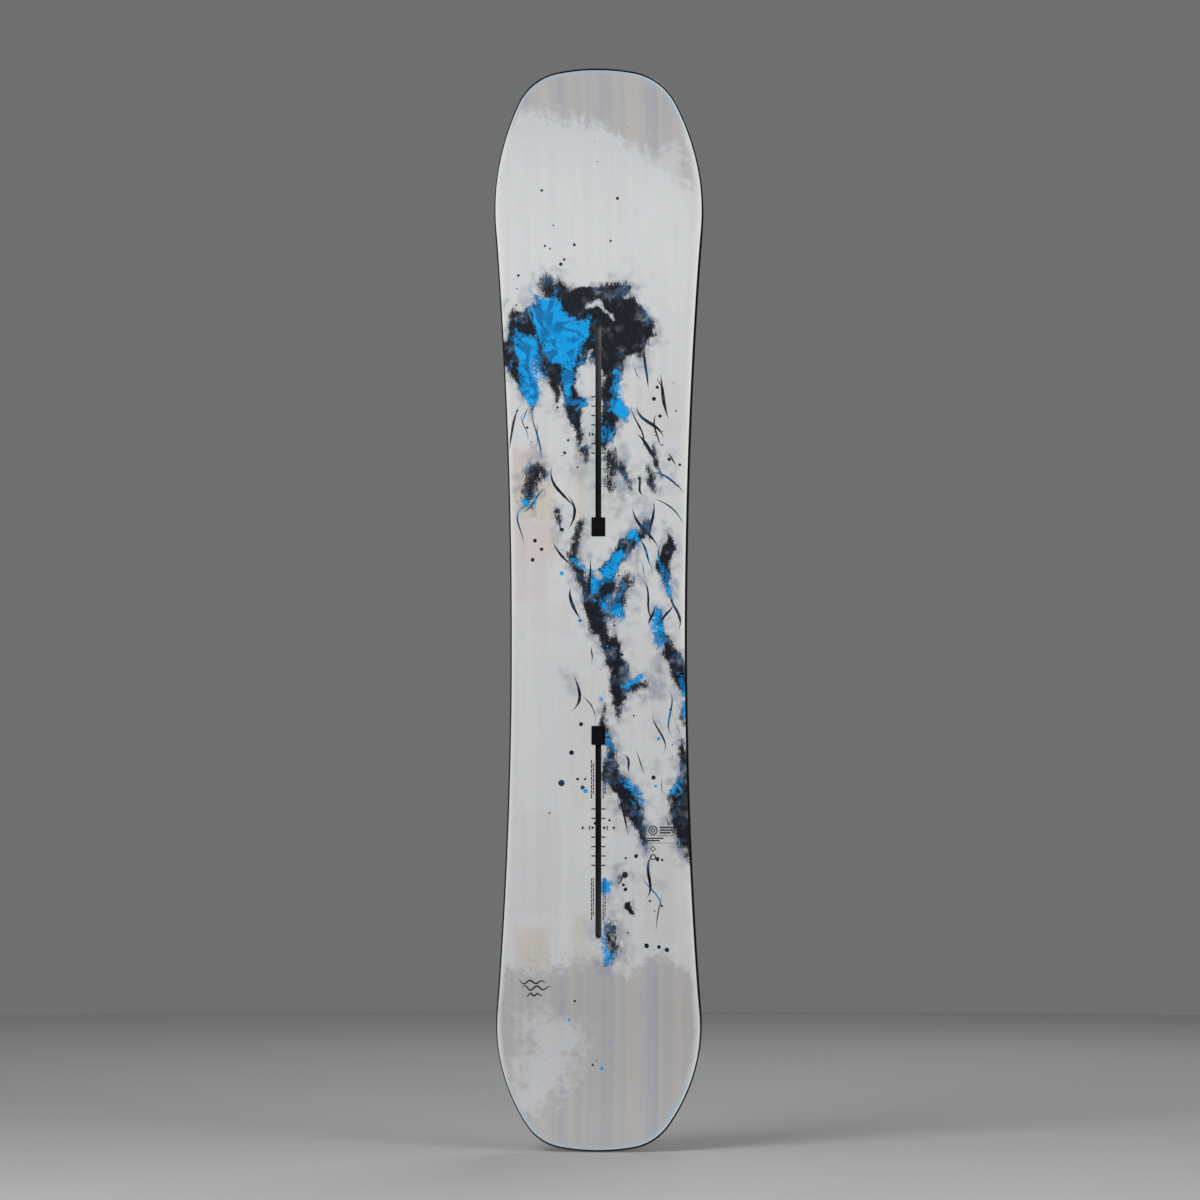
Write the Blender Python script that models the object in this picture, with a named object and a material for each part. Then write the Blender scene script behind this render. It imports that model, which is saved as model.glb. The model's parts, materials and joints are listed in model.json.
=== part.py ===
"""A directional snowboard with slotted binding channels, built as the pressed laminate that it is.

The board stands upright on its tail: +Z runs from tail to nose, the topsheet faces -Y, and +X is the
right-hand edge seen from in front of the topsheet. The origin is the lowest point of the tail, where a
stand grips the board. Every layer is the same plan outline, set in by its own margin, laid at its own
height above the base and bent along one side profile.
"""

import bisect
import math

import bmesh
import bpy
from mathutils import Vector

MM = 0.001

# ---- plan outline, seen square on to the topsheet ----
LENGTH = 1460 * MM
NOSE_WIDTH = 283.4 * MM
WAIST_WIDTH = 239.4 * MM
TAIL_WIDTH = 278.8 * MM
WAIST_SETBACK = 40 * MM  # the waist lies this far towards the tail from mid-length
NOSE_REACH = 193 * MM  # from the tip to the widest point
NOSE_TIP_RADIUS = 281 * MM
NOSE_SHOULDER_RADIUS = 78 * MM
NOSE_FLANK_RADIUS = 326 * MM
TAIL_REACH = 171 * MM
TAIL_TIP_RADIUS = 289 * MM
TAIL_SHOULDER_RADIUS = 73.4 * MM
TAIL_FLANK_RADIUS = 239 * MM

# ---- side profile ----
NOSE_KICK_LENGTH = 245 * MM
NOSE_KICK_ANGLE = math.radians(22)
TAIL_KICK_LENGTH = 190 * MM
TAIL_KICK_ANGLE = math.radians(20)
TIP_FLAT_LENGTH = 38 * MM  # the last stretch of each kick is straight
OUTER_CAMBER_ANGLE = math.radians(2.2)  # slope outside the bindings
INNER_CAMBER_ANGLE = math.radians(2.6)  # slope between the bindings
INNER_CAMBER_RISE = 55 * MM  # length of the arc that leaves each binding zone

# ---- stance and binding channels ----
STANCE_SETBACK = 27.9 * MM  # centre of stance towards the tail from mid-length
REFERENCE_STANCE = 531.3 * MM
CHANNEL_OUTBOARD = 149 * MM  # from the reference mark to the slot's far end
CHANNEL_INBOARD = 137 * MM  # from the reference mark to the window's near end
BINDING_ZONE_MARGIN = 16 * MM  # flat stretch past each end of a channel
SLOT_WIDTH = 7.0 * MM  # between the rail's lips
TOPSHEET_REVEAL = 0.5 * MM  # width of lip that shows beside the slot
WINDOW_WIDTH = 17.4 * MM  # where a binding nut drops in
WINDOW_LENGTH = 24.4 * MM
WINDOW_CORNER = 1.2 * MM
RAIL_FLOOR = 0.9 * MM
RAIL_LIP = 1.2 * MM
RAIL_WALL = 2.5 * MM
CAVITY_PAST_SLOT = 6 * MM  # the nut's cavity runs on under the lips past the slot's end

# ---- channel plugs ----
PLUG_CLEARANCE = 0.3 * MM
PLUG_LEDGE = 0.6 * MM  # how far the cap laps over the window's rim
PLUG_CAP_HEIGHT = 1.0 * MM
PLUG_CAP_BEVEL = 0.3 * MM
PLUG_BORDER = 2.2 * MM
PLUG_RECESS = 0.35 * MM
PLUG_BELOW_LIP = 1.4 * MM  # how far its feet reach into the cavity

# ---- layers, from the base up ----
BOND = 0.1 * MM  # resin line between bonded pieces
GLASS_THICKNESS = 0.6 * MM
CORE_THICKNESS = 6.4 * MM
CORE_TIP_THICKNESS = 1.3 * MM
CORE_TAPER_INSET = 8 * MM  # full thickness ends this far outside the binding zones
TOPSHEET_THICKNESS = 0.5 * MM

# ---- edges, sidewalls and core ----
EDGE_WIDTH = 2.0 * MM
EDGE_HEIGHT = 1.9 * MM
EDGE_FLANGE = 4.0 * MM
EDGE_FLANGE_THICKNESS = 0.5 * MM
FOIL_SETBACK = 0.6 * MM
FOIL_THICKNESS = 0.2 * MM
SIDEWALL_LEDGE = 0.45 * MM  # bare edge left outside the foot of the sidewall
SIDEWALL_INSET = 2.8 * MM  # of the topsheet, along the sidecut
TIP_INSET = 1.7 * MM  # of the topsheet, round the nose and tail
INSET_BLEND = 60 * MM
SIDEWALL_WIDTH = 9.5 * MM
FILLER_DEPTH = 112 * MM  # the core stops this far from each tip
CENTRE_STAVE_HALF = 22 * MM
CORE_STAVE_WIDTH = 21 * MM
CORE_STAVES = 3  # of that width on each side, besides the outer one

# ---- smoothness ----
STRAIGHT_STEP = 80 * MM
ARC_STEP = math.radians(3.2)
STATION_GAP = 2 * MM
TIP_ARC_STEPS = 5
SHOULDER_ARC_STEPS = 7
SHOULDER_CROWDING = 1.3
CORNER_STEPS = 3
SLOT_END_STEPS = 8
TOUCHING = 1e-6  # points nearer the centre line than this are on it
CUT_PAST = 0.05 * MM  # a cutter passes this far through what it cuts

# the base is flush with the running edge, and the flange over it is flush with the edge's top
BASE_THICKNESS = EDGE_HEIGHT - EDGE_FLANGE_THICKNESS - BOND

MID = LENGTH / 2
WAIST_Z = MID - WAIST_SETBACK
STANCE_CENTRE = MID - STANCE_SETBACK
FRONT_MARK = STANCE_CENTRE + REFERENCE_STANCE / 2
REAR_MARK = STANCE_CENTRE - REFERENCE_STANCE / 2
ZONE_INBOARD = CHANNEL_INBOARD + BINDING_ZONE_MARGIN
ZONE_OUTBOARD = CHANNEL_OUTBOARD + BINDING_ZONE_MARGIN
FRONT_ZONE = (FRONT_MARK - ZONE_INBOARD, FRONT_MARK + ZONE_OUTBOARD)
REAR_ZONE = (REAR_MARK - ZONE_OUTBOARD, REAR_MARK + ZONE_INBOARD)
CORE_TAIL = FILLER_DEPTH
CORE_NOSE = LENGTH - FILLER_DEPTH
TAIL_FILLER_END = CORE_TAIL - BOND
NOSE_FILLER_END = CORE_NOSE + BOND


# ---------------------------------------------------------------- plan outline


class End:
    """One end of the plan outline, as tangent arcs: tip, shoulder, flank and sidecut.

    Places are (x, u), with u measured from the tip. An inset d moves the outline inwards along its own
    normal, so each arc keeps its centre and only its radius changes.
    """

    def __init__(self, width, reach, to_waist, tip_radius, shoulder_radius, flank_radius):
        half = width / 2
        flare = half - WAIST_WIDTH / 2
        run = to_waist - reach
        sidecut_radius = (run**2 + flare**2) / (2 * flare) - flank_radius
        tip = Vector((0, tip_radius))
        flank = Vector((half - flank_radius, reach))
        shoulder = self.between(tip, tip_radius - shoulder_radius, flank, flank_radius - shoulder_radius)
        sidecut = Vector((WAIST_WIDTH / 2 + sidecut_radius, to_waist))
        # centre, radius, and 1 where the board is inside the circle or -1 where it is outside
        self.arcs = [
            (tip, tip_radius, 1),
            (shoulder, shoulder_radius, 1),
            (flank, flank_radius, 1),
            (sidecut, sidecut_radius, -1),
        ]
        self.joins = [
            (shoulder - tip).normalized(),
            (shoulder - flank).normalized(),
            (sidecut - flank).normalized(),
        ]

    @staticmethod
    def between(a, from_a, b, from_b):
        """The point at these two distances from a and b, on the side away from the board's middle."""
        gap = (b - a).length
        along = (from_a**2 - from_b**2 + gap**2) / (2 * gap)
        across = math.sqrt(from_a**2 - along**2)
        unit = (b - a) / gap
        side = Vector((-unit.y, unit.x))
        return max((a + unit * along + side * sign * across for sign in (1, -1)), key=lambda p: p.x)

    def join(self, index, inset):
        """Where arc index meets the next one, on the outline set in by inset."""
        centre, radius, sense = self.arcs[index]
        return centre + self.joins[index] * (radius - sense * inset)

    def half_width(self, u, inset):
        index = next((i for i in range(3) if u <= self.join(i, inset).y), 3)
        centre, radius, sense = self.arcs[index]
        return centre.x + sense * math.sqrt((radius - sense * inset) ** 2 - (u - centre.y) ** 2)

    def rounding(self, inset, u_end):
        """Points from the tip's centre round to u_end, which lies on the shoulder or the flank."""
        tip, tip_radius, _ = self.arcs[0]
        radius = tip_radius - inset
        turn = math.atan2(self.joins[0].x, -self.joins[0].y)
        angles = [turn * i / TIP_ARC_STEPS for i in range(TIP_ARC_STEPS)]
        found = [(radius * math.sin(angle), tip.y - radius * math.cos(angle)) for angle in angles]
        start = self.join(0, inset).y
        for i in range(SHOULDER_ARC_STEPS + 1):
            # closer together where the curve is tighter
            u = start + (u_end - start) * (i / SHOULDER_ARC_STEPS) ** SHOULDER_CROWDING
            found.append((self.half_width(u, inset), u))
        return found


TAIL = End(
    TAIL_WIDTH,
    TAIL_REACH,
    WAIST_Z,
    TAIL_TIP_RADIUS,
    TAIL_SHOULDER_RADIUS,
    TAIL_FLANK_RADIUS,
)
NOSE = End(
    NOSE_WIDTH,
    NOSE_REACH,
    LENGTH - WAIST_Z,
    NOSE_TIP_RADIUS,
    NOSE_SHOULDER_RADIUS,
    NOSE_FLANK_RADIUS,
)


def half_width(z, inset):
    return TAIL.half_width(z, inset) if z < WAIST_Z else NOSE.half_width(LENGTH - z, inset)


# ---------------------------------------------------------------- side profile


def profile_sections():
    """(z where it starts, slope at its start, slope at its end, z where it ends), from tail to nose."""
    kick_tail, kick_nose = TAIL_KICK_LENGTH, LENGTH - NOSE_KICK_LENGTH
    rise_end, fall_start = REAR_ZONE[1] + INNER_CAMBER_RISE, FRONT_ZONE[0] - INNER_CAMBER_RISE
    ends = [
        (TIP_FLAT_LENGTH, TAIL_KICK_ANGLE, TAIL_KICK_ANGLE),
        (kick_tail, TAIL_KICK_ANGLE, -OUTER_CAMBER_ANGLE),
        (REAR_ZONE[0], -OUTER_CAMBER_ANGLE, 0.0),
        (REAR_ZONE[1], 0.0, 0.0),
        (rise_end, 0.0, -INNER_CAMBER_ANGLE),
        (fall_start, -INNER_CAMBER_ANGLE, INNER_CAMBER_ANGLE),
        (FRONT_ZONE[0], INNER_CAMBER_ANGLE, 0.0),
        (FRONT_ZONE[1], 0.0, 0.0),
        (kick_nose, 0.0, OUTER_CAMBER_ANGLE),
        (LENGTH - TIP_FLAT_LENGTH, OUTER_CAMBER_ANGLE, -NOSE_KICK_ANGLE),
        (LENGTH, -NOSE_KICK_ANGLE, -NOSE_KICK_ANGLE),
    ]
    starts = [0.0] + [end[0] for end in ends[:-1]]
    return [(start, first, last, end) for start, (end, first, last) in zip(starts, ends)]


def along_section(section, z):
    """(how far y has moved since the section's start, slope) at z. A section is straight or one arc."""
    start, first, last, end = section
    if first == last:
        return (z - start) * math.tan(first), first
    radius = (end - start) / (math.sin(last) - math.sin(first))
    slope = math.asin(math.sin(first) + (z - start) / radius)
    return -radius * (math.cos(slope) - math.cos(first)), slope


SECTIONS = profile_sections()
SECTION_STARTS = [section[0] for section in SECTIONS]
SECTION_Y = [0.0]
for _section in SECTIONS[:-1]:
    SECTION_Y.append(SECTION_Y[-1] + along_section(_section, _section[3])[0])


def profile(z):
    """(y of the base's running surface, its slope dy/dz as an angle) at height z."""
    index = max(bisect.bisect_right(SECTION_STARTS, z) - 1, 0)
    moved, slope = along_section(SECTIONS[index], z)
    return SECTION_Y[index] + moved, slope


def place(x, z, height):
    """The point that lies height above the base's running surface, square to it, where it crosses z."""
    y, slope = profile(z)
    return Vector((x, y - height * math.cos(slope), z + height * math.sin(slope)))


def station_heights():
    """Every z where the layers have a row of points, from one flat tip to the other."""
    found = {WAIST_Z, TAIL_REACH, LENGTH - NOSE_REACH}
    for start, first, last, end in SECTIONS[1:-1]:
        steps = max(math.ceil(abs(last - first) / ARC_STEP), math.ceil((end - start) / STRAIGHT_STEP))
        found.update(start + (end - start) * i / steps for i in range(steps + 1))
    core_ends = [TAIL_FILLER_END, CORE_TAIL, CORE_NOSE, NOSE_FILLER_END]
    spaced = []
    for z in sorted(found):
        clear = all(abs(z - end) > STATION_GAP for end in core_ends)
        if clear and (not spaced or z - spaced[-1] > STATION_GAP):
            spaced.append(z)
    return sorted(spaced + core_ends)


STATIONS = station_heights()


# ---------------------------------------------------------------- layer heights and insets


def blend(z, low, high):
    """0 at the low end to 1 at the high end, with no kink."""
    t = min(max((z - low) / (high - low), 0.0), 1.0)
    return t * t * (3 - 2 * t)


CORE_LOW = BASE_THICKNESS + GLASS_THICKNESS + 2 * BOND
SIDEWALL_LOW = EDGE_HEIGHT + FOIL_THICKNESS + 2 * BOND


def core_top(z):
    taper_tail = blend(z, TIP_FLAT_LENGTH, REAR_ZONE[0] - CORE_TAPER_INSET)
    taper_nose = blend(LENGTH - z, TIP_FLAT_LENGTH, LENGTH - FRONT_ZONE[1] - CORE_TAPER_INSET)
    return CORE_LOW + CORE_TIP_THICKNESS + (CORE_THICKNESS - CORE_TIP_THICKNESS) * min(taper_tail, taper_nose)


def glass_top(z):
    return core_top(z) + BOND + GLASS_THICKNESS


def topsheet_top(z):
    return glass_top(z) + BOND + TOPSHEET_THICKNESS


def topsheet_inset(z):
    side = min(
        blend(z, TAIL_REACH - INSET_BLEND, TAIL_REACH + INSET_BLEND),
        blend(LENGTH - z, NOSE_REACH - INSET_BLEND, NOSE_REACH + INSET_BLEND),
    )
    return TIP_INSET + (SIDEWALL_INSET - TIP_INSET) * side


def bevel_inset(z, height):
    """How far in the sidewall's sloping face stands at this height above the base."""
    share = (height - SIDEWALL_LOW) / (topsheet_top(z) - SIDEWALL_LOW)
    return SIDEWALL_LEDGE + (topsheet_inset(z) - SIDEWALL_LEDGE) * share


def level(value):
    """The same value at every z."""
    return lambda z: value


def within(value):
    """The same inset at every z and height."""
    return lambda z, height: value


# ---------------------------------------------------------------- building solids


def material(name, colour, roughness, metallic=0.0):
    made = bpy.data.materials.new(name)
    made.use_nodes = True
    shader = made.node_tree.nodes["Principled BSDF"]
    shader.inputs["Base Color"].default_value = (*colour, 1)
    shader.inputs["Roughness"].default_value = roughness
    shader.inputs["Metallic"].default_value = metallic
    return made


def add_object(name, bm, finish, origin=(0, 0, 0)):
    """An object made from bm, whose points are given in the board's frame, with its own origin."""
    bmesh.ops.recalc_face_normals(bm, faces=bm.faces)
    bmesh.ops.translate(bm, vec=-Vector(origin), verts=bm.verts)
    mesh = bpy.data.meshes.new(name)
    bm.to_mesh(mesh)
    bm.free()
    mesh.materials.append(finish)
    obj = bpy.data.objects.new(name, mesh)
    obj.location = origin
    obj.parent = board
    bpy.context.scene.collection.objects.link(obj)
    return obj


def loft(name, finish, sections, origin=(0, 0, 0)):
    """A solid through a row of cross-sections with the same number of points."""
    bm = bmesh.new()
    rows = [[bm.verts.new(point) for point in section] for section in sections]
    size = len(rows[0])
    for one, two in zip(rows, rows[1:]):
        for i in range(size):
            j = (i + 1) % size
            bm.faces.new((one[i], one[j], two[j], two[i]))
    bm.faces.new(rows[0])
    bm.faces.new(rows[-1][::-1])
    return add_object(name, bm, finish, origin)


def outline_points(inset, z_from=None, z_to=None):
    """The outline's right half as (x, z), tail to nose, set in by inset(z).

    An end given by z_from or z_to is square, and the other ends are the board's own rounded tips.
    """
    low = 0 if z_from is None else z_from
    high = LENGTH if z_to is None else z_to
    rows = [z for z in STATIONS if low <= z <= high]
    points = [(half_width(z, inset(z)), z) for z in rows]
    if z_from is None:
        points = TAIL.rounding(inset(0), rows[0])[:-1] + points
    if z_to is None:
        nose = NOSE.rounding(inset(LENGTH), LENGTH - rows[-1])[:-1]
        points += [(x, LENGTH - u) for x, u in reversed(nose)]
    return points


def plate(name, finish, low, high, inset, z_from=None, z_to=None):
    """A layer over the board's full width between two heights, its side set in by inset(z, height)."""
    bm = bmesh.new()
    layers = []
    for height in (low, high):
        points = outline_points(lambda z: inset(z, height(z)), z_from, z_to)
        right = [bm.verts.new(place(x, z, height(z))) for x, z in points]
        left = [
            vert if x < TOUCHING else bm.verts.new(place(-x, z, height(z)))
            for vert, (x, z) in zip(right, points)
        ]
        layers.append((right, left))
    (low_right, low_left), (high_right, high_left) = layers
    rounding = TIP_ARC_STEPS + SHOULDER_ARC_STEPS
    first = rounding if z_from is None else 0
    last = len(low_right) - 1 - (rounding if z_to is None else 0)
    for right, left in layers:
        if z_from is None:
            bm.faces.new(right[: first + 1] + left[first:0:-1])
        if z_to is None:
            bm.faces.new(right[last:] + left[-2 : last - 1 : -1])
        for k in range(first, last):
            bm.faces.new((right[k], right[k + 1], left[k + 1], left[k]))
    for lows, highs in ((low_right, high_right), (low_left, high_left)):
        for k in range(len(lows) - 1):
            bm.faces.new((lows[k], lows[k + 1], highs[k + 1], highs[k]))
    for end, cut in ((0, z_from), (-1, z_to)):
        if cut is not None:
            bm.faces.new((low_right[end], high_right[end], high_left[end], low_left[end]))
    return add_object(name, bm, finish)


def band(name, finish, side, corners, z_from=None, z_to=None):
    """A strip along one side of the board. corners are (inset(z), height(z)) round its cross-section.

    A band with no cut end runs round to the board's centre line, where it meets its other half.
    """
    edges = [outline_points(inset, z_from, z_to) for inset, _ in corners]
    sections = []
    for points in zip(*edges):
        section = []
        for (x, z), (_, height) in zip(points, corners):
            section.append(place(side * max(x, BOND / 2), z, height(z)))
        sections.append(section)
    return loft(name, finish, sections)


def core_strip(name, finish, inner, outer):
    """A stave of the core between two offsets from the centre line, inner(z) and outer(z)."""
    sections = []
    for z in STATIONS:
        if CORE_TAIL <= z <= CORE_NOSE:
            low, high = CORE_LOW, core_top(z)
            corners = ((inner, low), (outer, low), (outer, high), (inner, high))
            sections.append([place(offset(z), z, height) for offset, height in corners])
    return loft(name, finish, sections)


def rounded_rectangle(width, z_low, z_high, radius):
    """Points (x, z) round a rectangle that is centred on x = 0."""
    points = []
    corners = (
        (width / 2 - radius, z_low + radius, -90),
        (width / 2 - radius, z_high - radius, 0),
        (radius - width / 2, z_high - radius, 90),
        (radius - width / 2, z_low + radius, 180),
    )
    for x, z, start in corners:
        for i in range(CORNER_STEPS + 1):
            angle = math.radians(start + 90 * i / CORNER_STEPS)
            points.append((x + radius * math.cos(angle), z + radius * math.sin(angle)))
    return points


def prism(name, finish, outline, low, high):
    """A block on a flat stretch of the board, from an (x, z) outline and two heights."""
    return loft(name, finish, [[place(x, z, height) for x, z in outline] for height in (low, high)])


def cut(obj, cutter):
    cutter.hide_render = True
    cutter.display_type = "WIRE"
    modifier = obj.modifiers.new("cut by " + cutter.name, "BOOLEAN")
    modifier.operation = "DIFFERENCE"
    modifier.solver = "EXACT"
    modifier.object = cutter


# ---------------------------------------------------------------- binding channels


class Channel:
    """The heights and (x, z) outlines of one binding channel. Its slot runs outboard from its window."""

    def __init__(self, prefix, mark, outboard):
        self.prefix = prefix
        self.mark = mark
        self.outboard = outboard
        self.window_near = mark - outboard * CHANNEL_INBOARD
        self.window_far = self.window_near + outboard * WINDOW_LENGTH
        self.window_middle = (self.window_near + self.window_far) / 2
        self.slot_end = mark + outboard * CHANNEL_OUTBOARD

    def block(self, width, grow_near, grow_far, radius):
        """A rounded rectangle over the whole channel, longer than it by grow_near and grow_far."""
        near = self.window_near - self.outboard * grow_near
        far = self.slot_end + self.outboard * grow_far
        return rounded_rectangle(width, min(near, far), max(near, far), radius)

    def window(self, grow):
        """The window's outline, larger all round by grow."""
        low, high = sorted((self.window_near, self.window_far))
        return rounded_rectangle(WINDOW_WIDTH + 2 * grow, low - grow, high + grow, WINDOW_CORNER)

    def keyhole(self, grow):
        """The window and the slot as one outline, larger all round by grow."""
        half_slot = SLOT_WIDTH / 2 + grow
        near = self.window_near - self.outboard * grow
        far = self.window_far + self.outboard * grow
        half = WINDOW_WIDTH / 2 + grow
        points = [(-half_slot, far), (-half, far), (-half, near), (half, near), (half, far), (half_slot, far)]
        round_centre = self.slot_end - self.outboard * SLOT_WIDTH / 2
        for i in range(SLOT_END_STEPS + 1):
            angle = math.pi * i / SLOT_END_STEPS
            reach = self.outboard * half_slot * math.sin(angle)
            points.append((half_slot * math.cos(angle), round_centre + reach))
        return points


def cut_slot(obj, channel, grow, low, high):
    """Opens the channel's keyhole through a layer of the board."""
    name = channel.prefix + "_keyhole_for_" + obj.name
    cut(obj, prism(name, None, channel.keyhole(grow), low - CUT_PAST, high + CUT_PAST))


def channel_rail(channel, finish):
    """A moulded track with a T-shaped cavity: nuts drop in at the window and slide under the lips."""
    top = core_top(channel.mark)
    floor = CORE_LOW + RAIL_FLOOR
    cavity = WINDOW_WIDTH
    outline = channel.block(
        cavity + 2 * RAIL_WALL,
        RAIL_WALL,
        CAVITY_PAST_SLOT + RAIL_WALL,
        WINDOW_CORNER + RAIL_WALL,
    )
    rail = prism(channel.prefix + "_channel_rail", finish, outline, CORE_LOW, top)
    hollow = channel.block(cavity, 0, CAVITY_PAST_SLOT, WINDOW_CORNER)
    cut(rail, prism(channel.prefix + "_nut_cavity", None, hollow, floor, top - RAIL_LIP))
    cut_slot(rail, channel, 0, top - RAIL_LIP, top)
    return rail


def rail_pocket(strip, channel):
    """Routs the rail's bed out of the centre stave."""
    outline = channel.block(
        WINDOW_WIDTH + 2 * (RAIL_WALL + BOND),
        RAIL_WALL + BOND,
        CAVITY_PAST_SLOT + RAIL_WALL + BOND,
        WINDOW_CORNER + RAIL_WALL + BOND,
    )
    name = channel.prefix + "_rail_pocket"
    cut(strip, prism(name, None, outline, CORE_LOW - CUT_PAST, core_top(channel.mark) + CUT_PAST))


def channel_plug(channel, finish):
    """A moulded cover that presses into the window: a bordered cap on a block that fills the opening."""
    seat = topsheet_top(channel.mark) + BOND
    top = seat + PLUG_CAP_HEIGHT
    foot = core_top(channel.mark) - RAIL_LIP - PLUG_BELOW_LIP
    border = PLUG_LEDGE - PLUG_BORDER
    levels = (
        (-PLUG_CLEARANCE, foot),
        (-PLUG_CLEARANCE, seat),
        (PLUG_LEDGE, seat),
        (PLUG_LEDGE, top - PLUG_CAP_BEVEL),
        (PLUG_LEDGE - PLUG_CAP_BEVEL, top),
        (border, top),
        (border - PLUG_RECESS, top - PLUG_RECESS),
    )
    origin = place(0, channel.window_middle, seat)
    sections = [
        [place(x, z, height) for x, z in channel.window(grow)]
        for grow, height in levels
    ]
    return loft(channel.prefix + "_channel_plug", finish, sections, origin)


# ---------------------------------------------------------------- the board

for leftover in list(bpy.data.objects):
    bpy.data.objects.remove(leftover)
board = bpy.data.objects.new("snowboard", None)
bpy.context.scene.collection.objects.link(board)

CHANNELS = (Channel("front", FRONT_MARK, 1), Channel("rear", REAR_MARK, -1))
SIDES = (("toe", 1), ("heel", -1))

black_polyethylene = material("sintered base", (0.02, 0.021, 0.023), 0.38)
steel = material("edge steel", (0.62, 0.63, 0.65), 0.28, 1.0)
damping_rubber = material("damping rubber", (0.03, 0.03, 0.03), 0.8)
fiberglass = material("black-tinted fiberglass", (0.03, 0.032, 0.03), 0.35)
pale_wood = material("paulownia", (0.72, 0.56, 0.38), 0.6)
dense_wood = material("poplar", (0.60, 0.43, 0.26), 0.6)
black_abs = material("sidewall ABS", (0.012, 0.012, 0.013), 0.35)
printed_sheet = material("printed topsheet", (0.80, 0.82, 0.83), 0.22)
track_nylon = material("track nylon", (0.02, 0.02, 0.022), 0.4)
plug_plastic = material("plug plastic", (0.015, 0.015, 0.016), 0.45)

flange_in = EDGE_WIDTH + EDGE_FLANGE
inner_side = SIDEWALL_LEDGE + SIDEWALL_WIDTH

# running surface and the steel round it
plate("base_running_surface", black_polyethylene, level(0), level(BASE_THICKNESS), within(EDGE_WIDTH + BOND))
edge_corners = (
    (level(0), level(0)),
    (level(0), level(EDGE_HEIGHT)),
    (level(flange_in), level(EDGE_HEIGHT)),
    (level(flange_in), level(BASE_THICKNESS + BOND)),
    (level(EDGE_WIDTH), level(BASE_THICKNESS + BOND)),
    (level(EDGE_WIDTH), level(0)),
)
foil_low = EDGE_HEIGHT + BOND
foil_corners = (
    (level(FOIL_SETBACK), level(foil_low)),
    (level(FOIL_SETBACK), level(foil_low + FOIL_THICKNESS)),
    (level(flange_in), level(foil_low + FOIL_THICKNESS)),
    (level(flange_in), level(foil_low)),
)
for side_name, side in SIDES:
    band("steel_edge_" + side_name, steel, side, edge_corners)
    band("edge_damping_foil_" + side_name, damping_rubber, side, foil_corners)
glass_low = level(BASE_THICKNESS + BOND)
plate(
    "lower_fiberglass_laminate",
    fiberglass,
    glass_low,
    level(BASE_THICKNESS + BOND + GLASS_THICKNESS),
    within(flange_in + BOND),
)

# wood core, its sidewalls and the fillers at its ends
stave_edges = [CENTRE_STAVE_HALF + CORE_STAVE_WIDTH * i for i in range(CORE_STAVES + 1)]
centre = core_strip("core_stave_centre", dense_wood, level(-CENTRE_STAVE_HALF), level(CENTRE_STAVE_HALF))
for side_name, side in SIDES:
    for i in range(CORE_STAVES):
        inner_edge = side * (stave_edges[i] + BOND)
        outer_edge = side * stave_edges[i + 1]
        wood = pale_wood if i % 2 == 0 else dense_wood
        name = "core_stave_" + side_name + "_" + str(i + 1)
        core_strip(name, wood, level(inner_edge), level(outer_edge))
    inner_edge = side * (stave_edges[-1] + BOND)
    core_strip(
        "core_stave_" + side_name + "_outer",
        pale_wood if CORE_STAVES % 2 == 0 else dense_wood,
        level(inner_edge),
        lambda z, side=side: side * (half_width(z, inner_side) - BOND),
    )
    wall_corners = (
        (lambda z: bevel_inset(z, SIDEWALL_LOW), level(SIDEWALL_LOW)),
        (lambda z: bevel_inset(z, core_top(z)), core_top),
        (level(inner_side), core_top),
        (level(inner_side), level(SIDEWALL_LOW)),
    )
    band("sidewall_" + side_name, black_abs, side, wall_corners, CORE_TAIL, CORE_NOSE)
plate("tail_tip_filler", black_abs, level(SIDEWALL_LOW), core_top, bevel_inset, None, TAIL_FILLER_END)
plate("nose_tip_filler", black_abs, level(SIDEWALL_LOW), core_top, bevel_inset, NOSE_FILLER_END, None)

# upper laminate and printed topsheet, both open over the channels
upper_glass = plate(
    "upper_fiberglass_laminate",
    fiberglass,
    lambda z: core_top(z) + BOND,
    glass_top,
    bevel_inset,
)
topsheet = plate("topsheet", printed_sheet, lambda z: glass_top(z) + BOND, topsheet_top, bevel_inset)

for channel in CHANNELS:
    channel_rail(channel, track_nylon)
    rail_pocket(centre, channel)
    cut_slot(upper_glass, channel, TOPSHEET_REVEAL, core_top(channel.mark) + BOND, glass_top(channel.mark))
    cut_slot(topsheet, channel, TOPSHEET_REVEAL, glass_top(channel.mark) + BOND, topsheet_top(channel.mark))
    channel_plug(channel, plug_plastic)
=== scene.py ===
"""Looks for a directional snowboard with slotted binding channels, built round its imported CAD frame.

The board stands on its tail: +Z runs to the nose, the topsheet faces -Y and +X is the toe edge. Fine
versions of the rim, base, laminate, topsheet, rails and plugs stand for their CAD nodes, with the same
sizes. The print on the topsheet is an abstract ink wash of this script's own making. Its large shapes are
fields computed on the topsheet's points and face corners, and its grain comes from the shader.
"""

import json
import math

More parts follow.
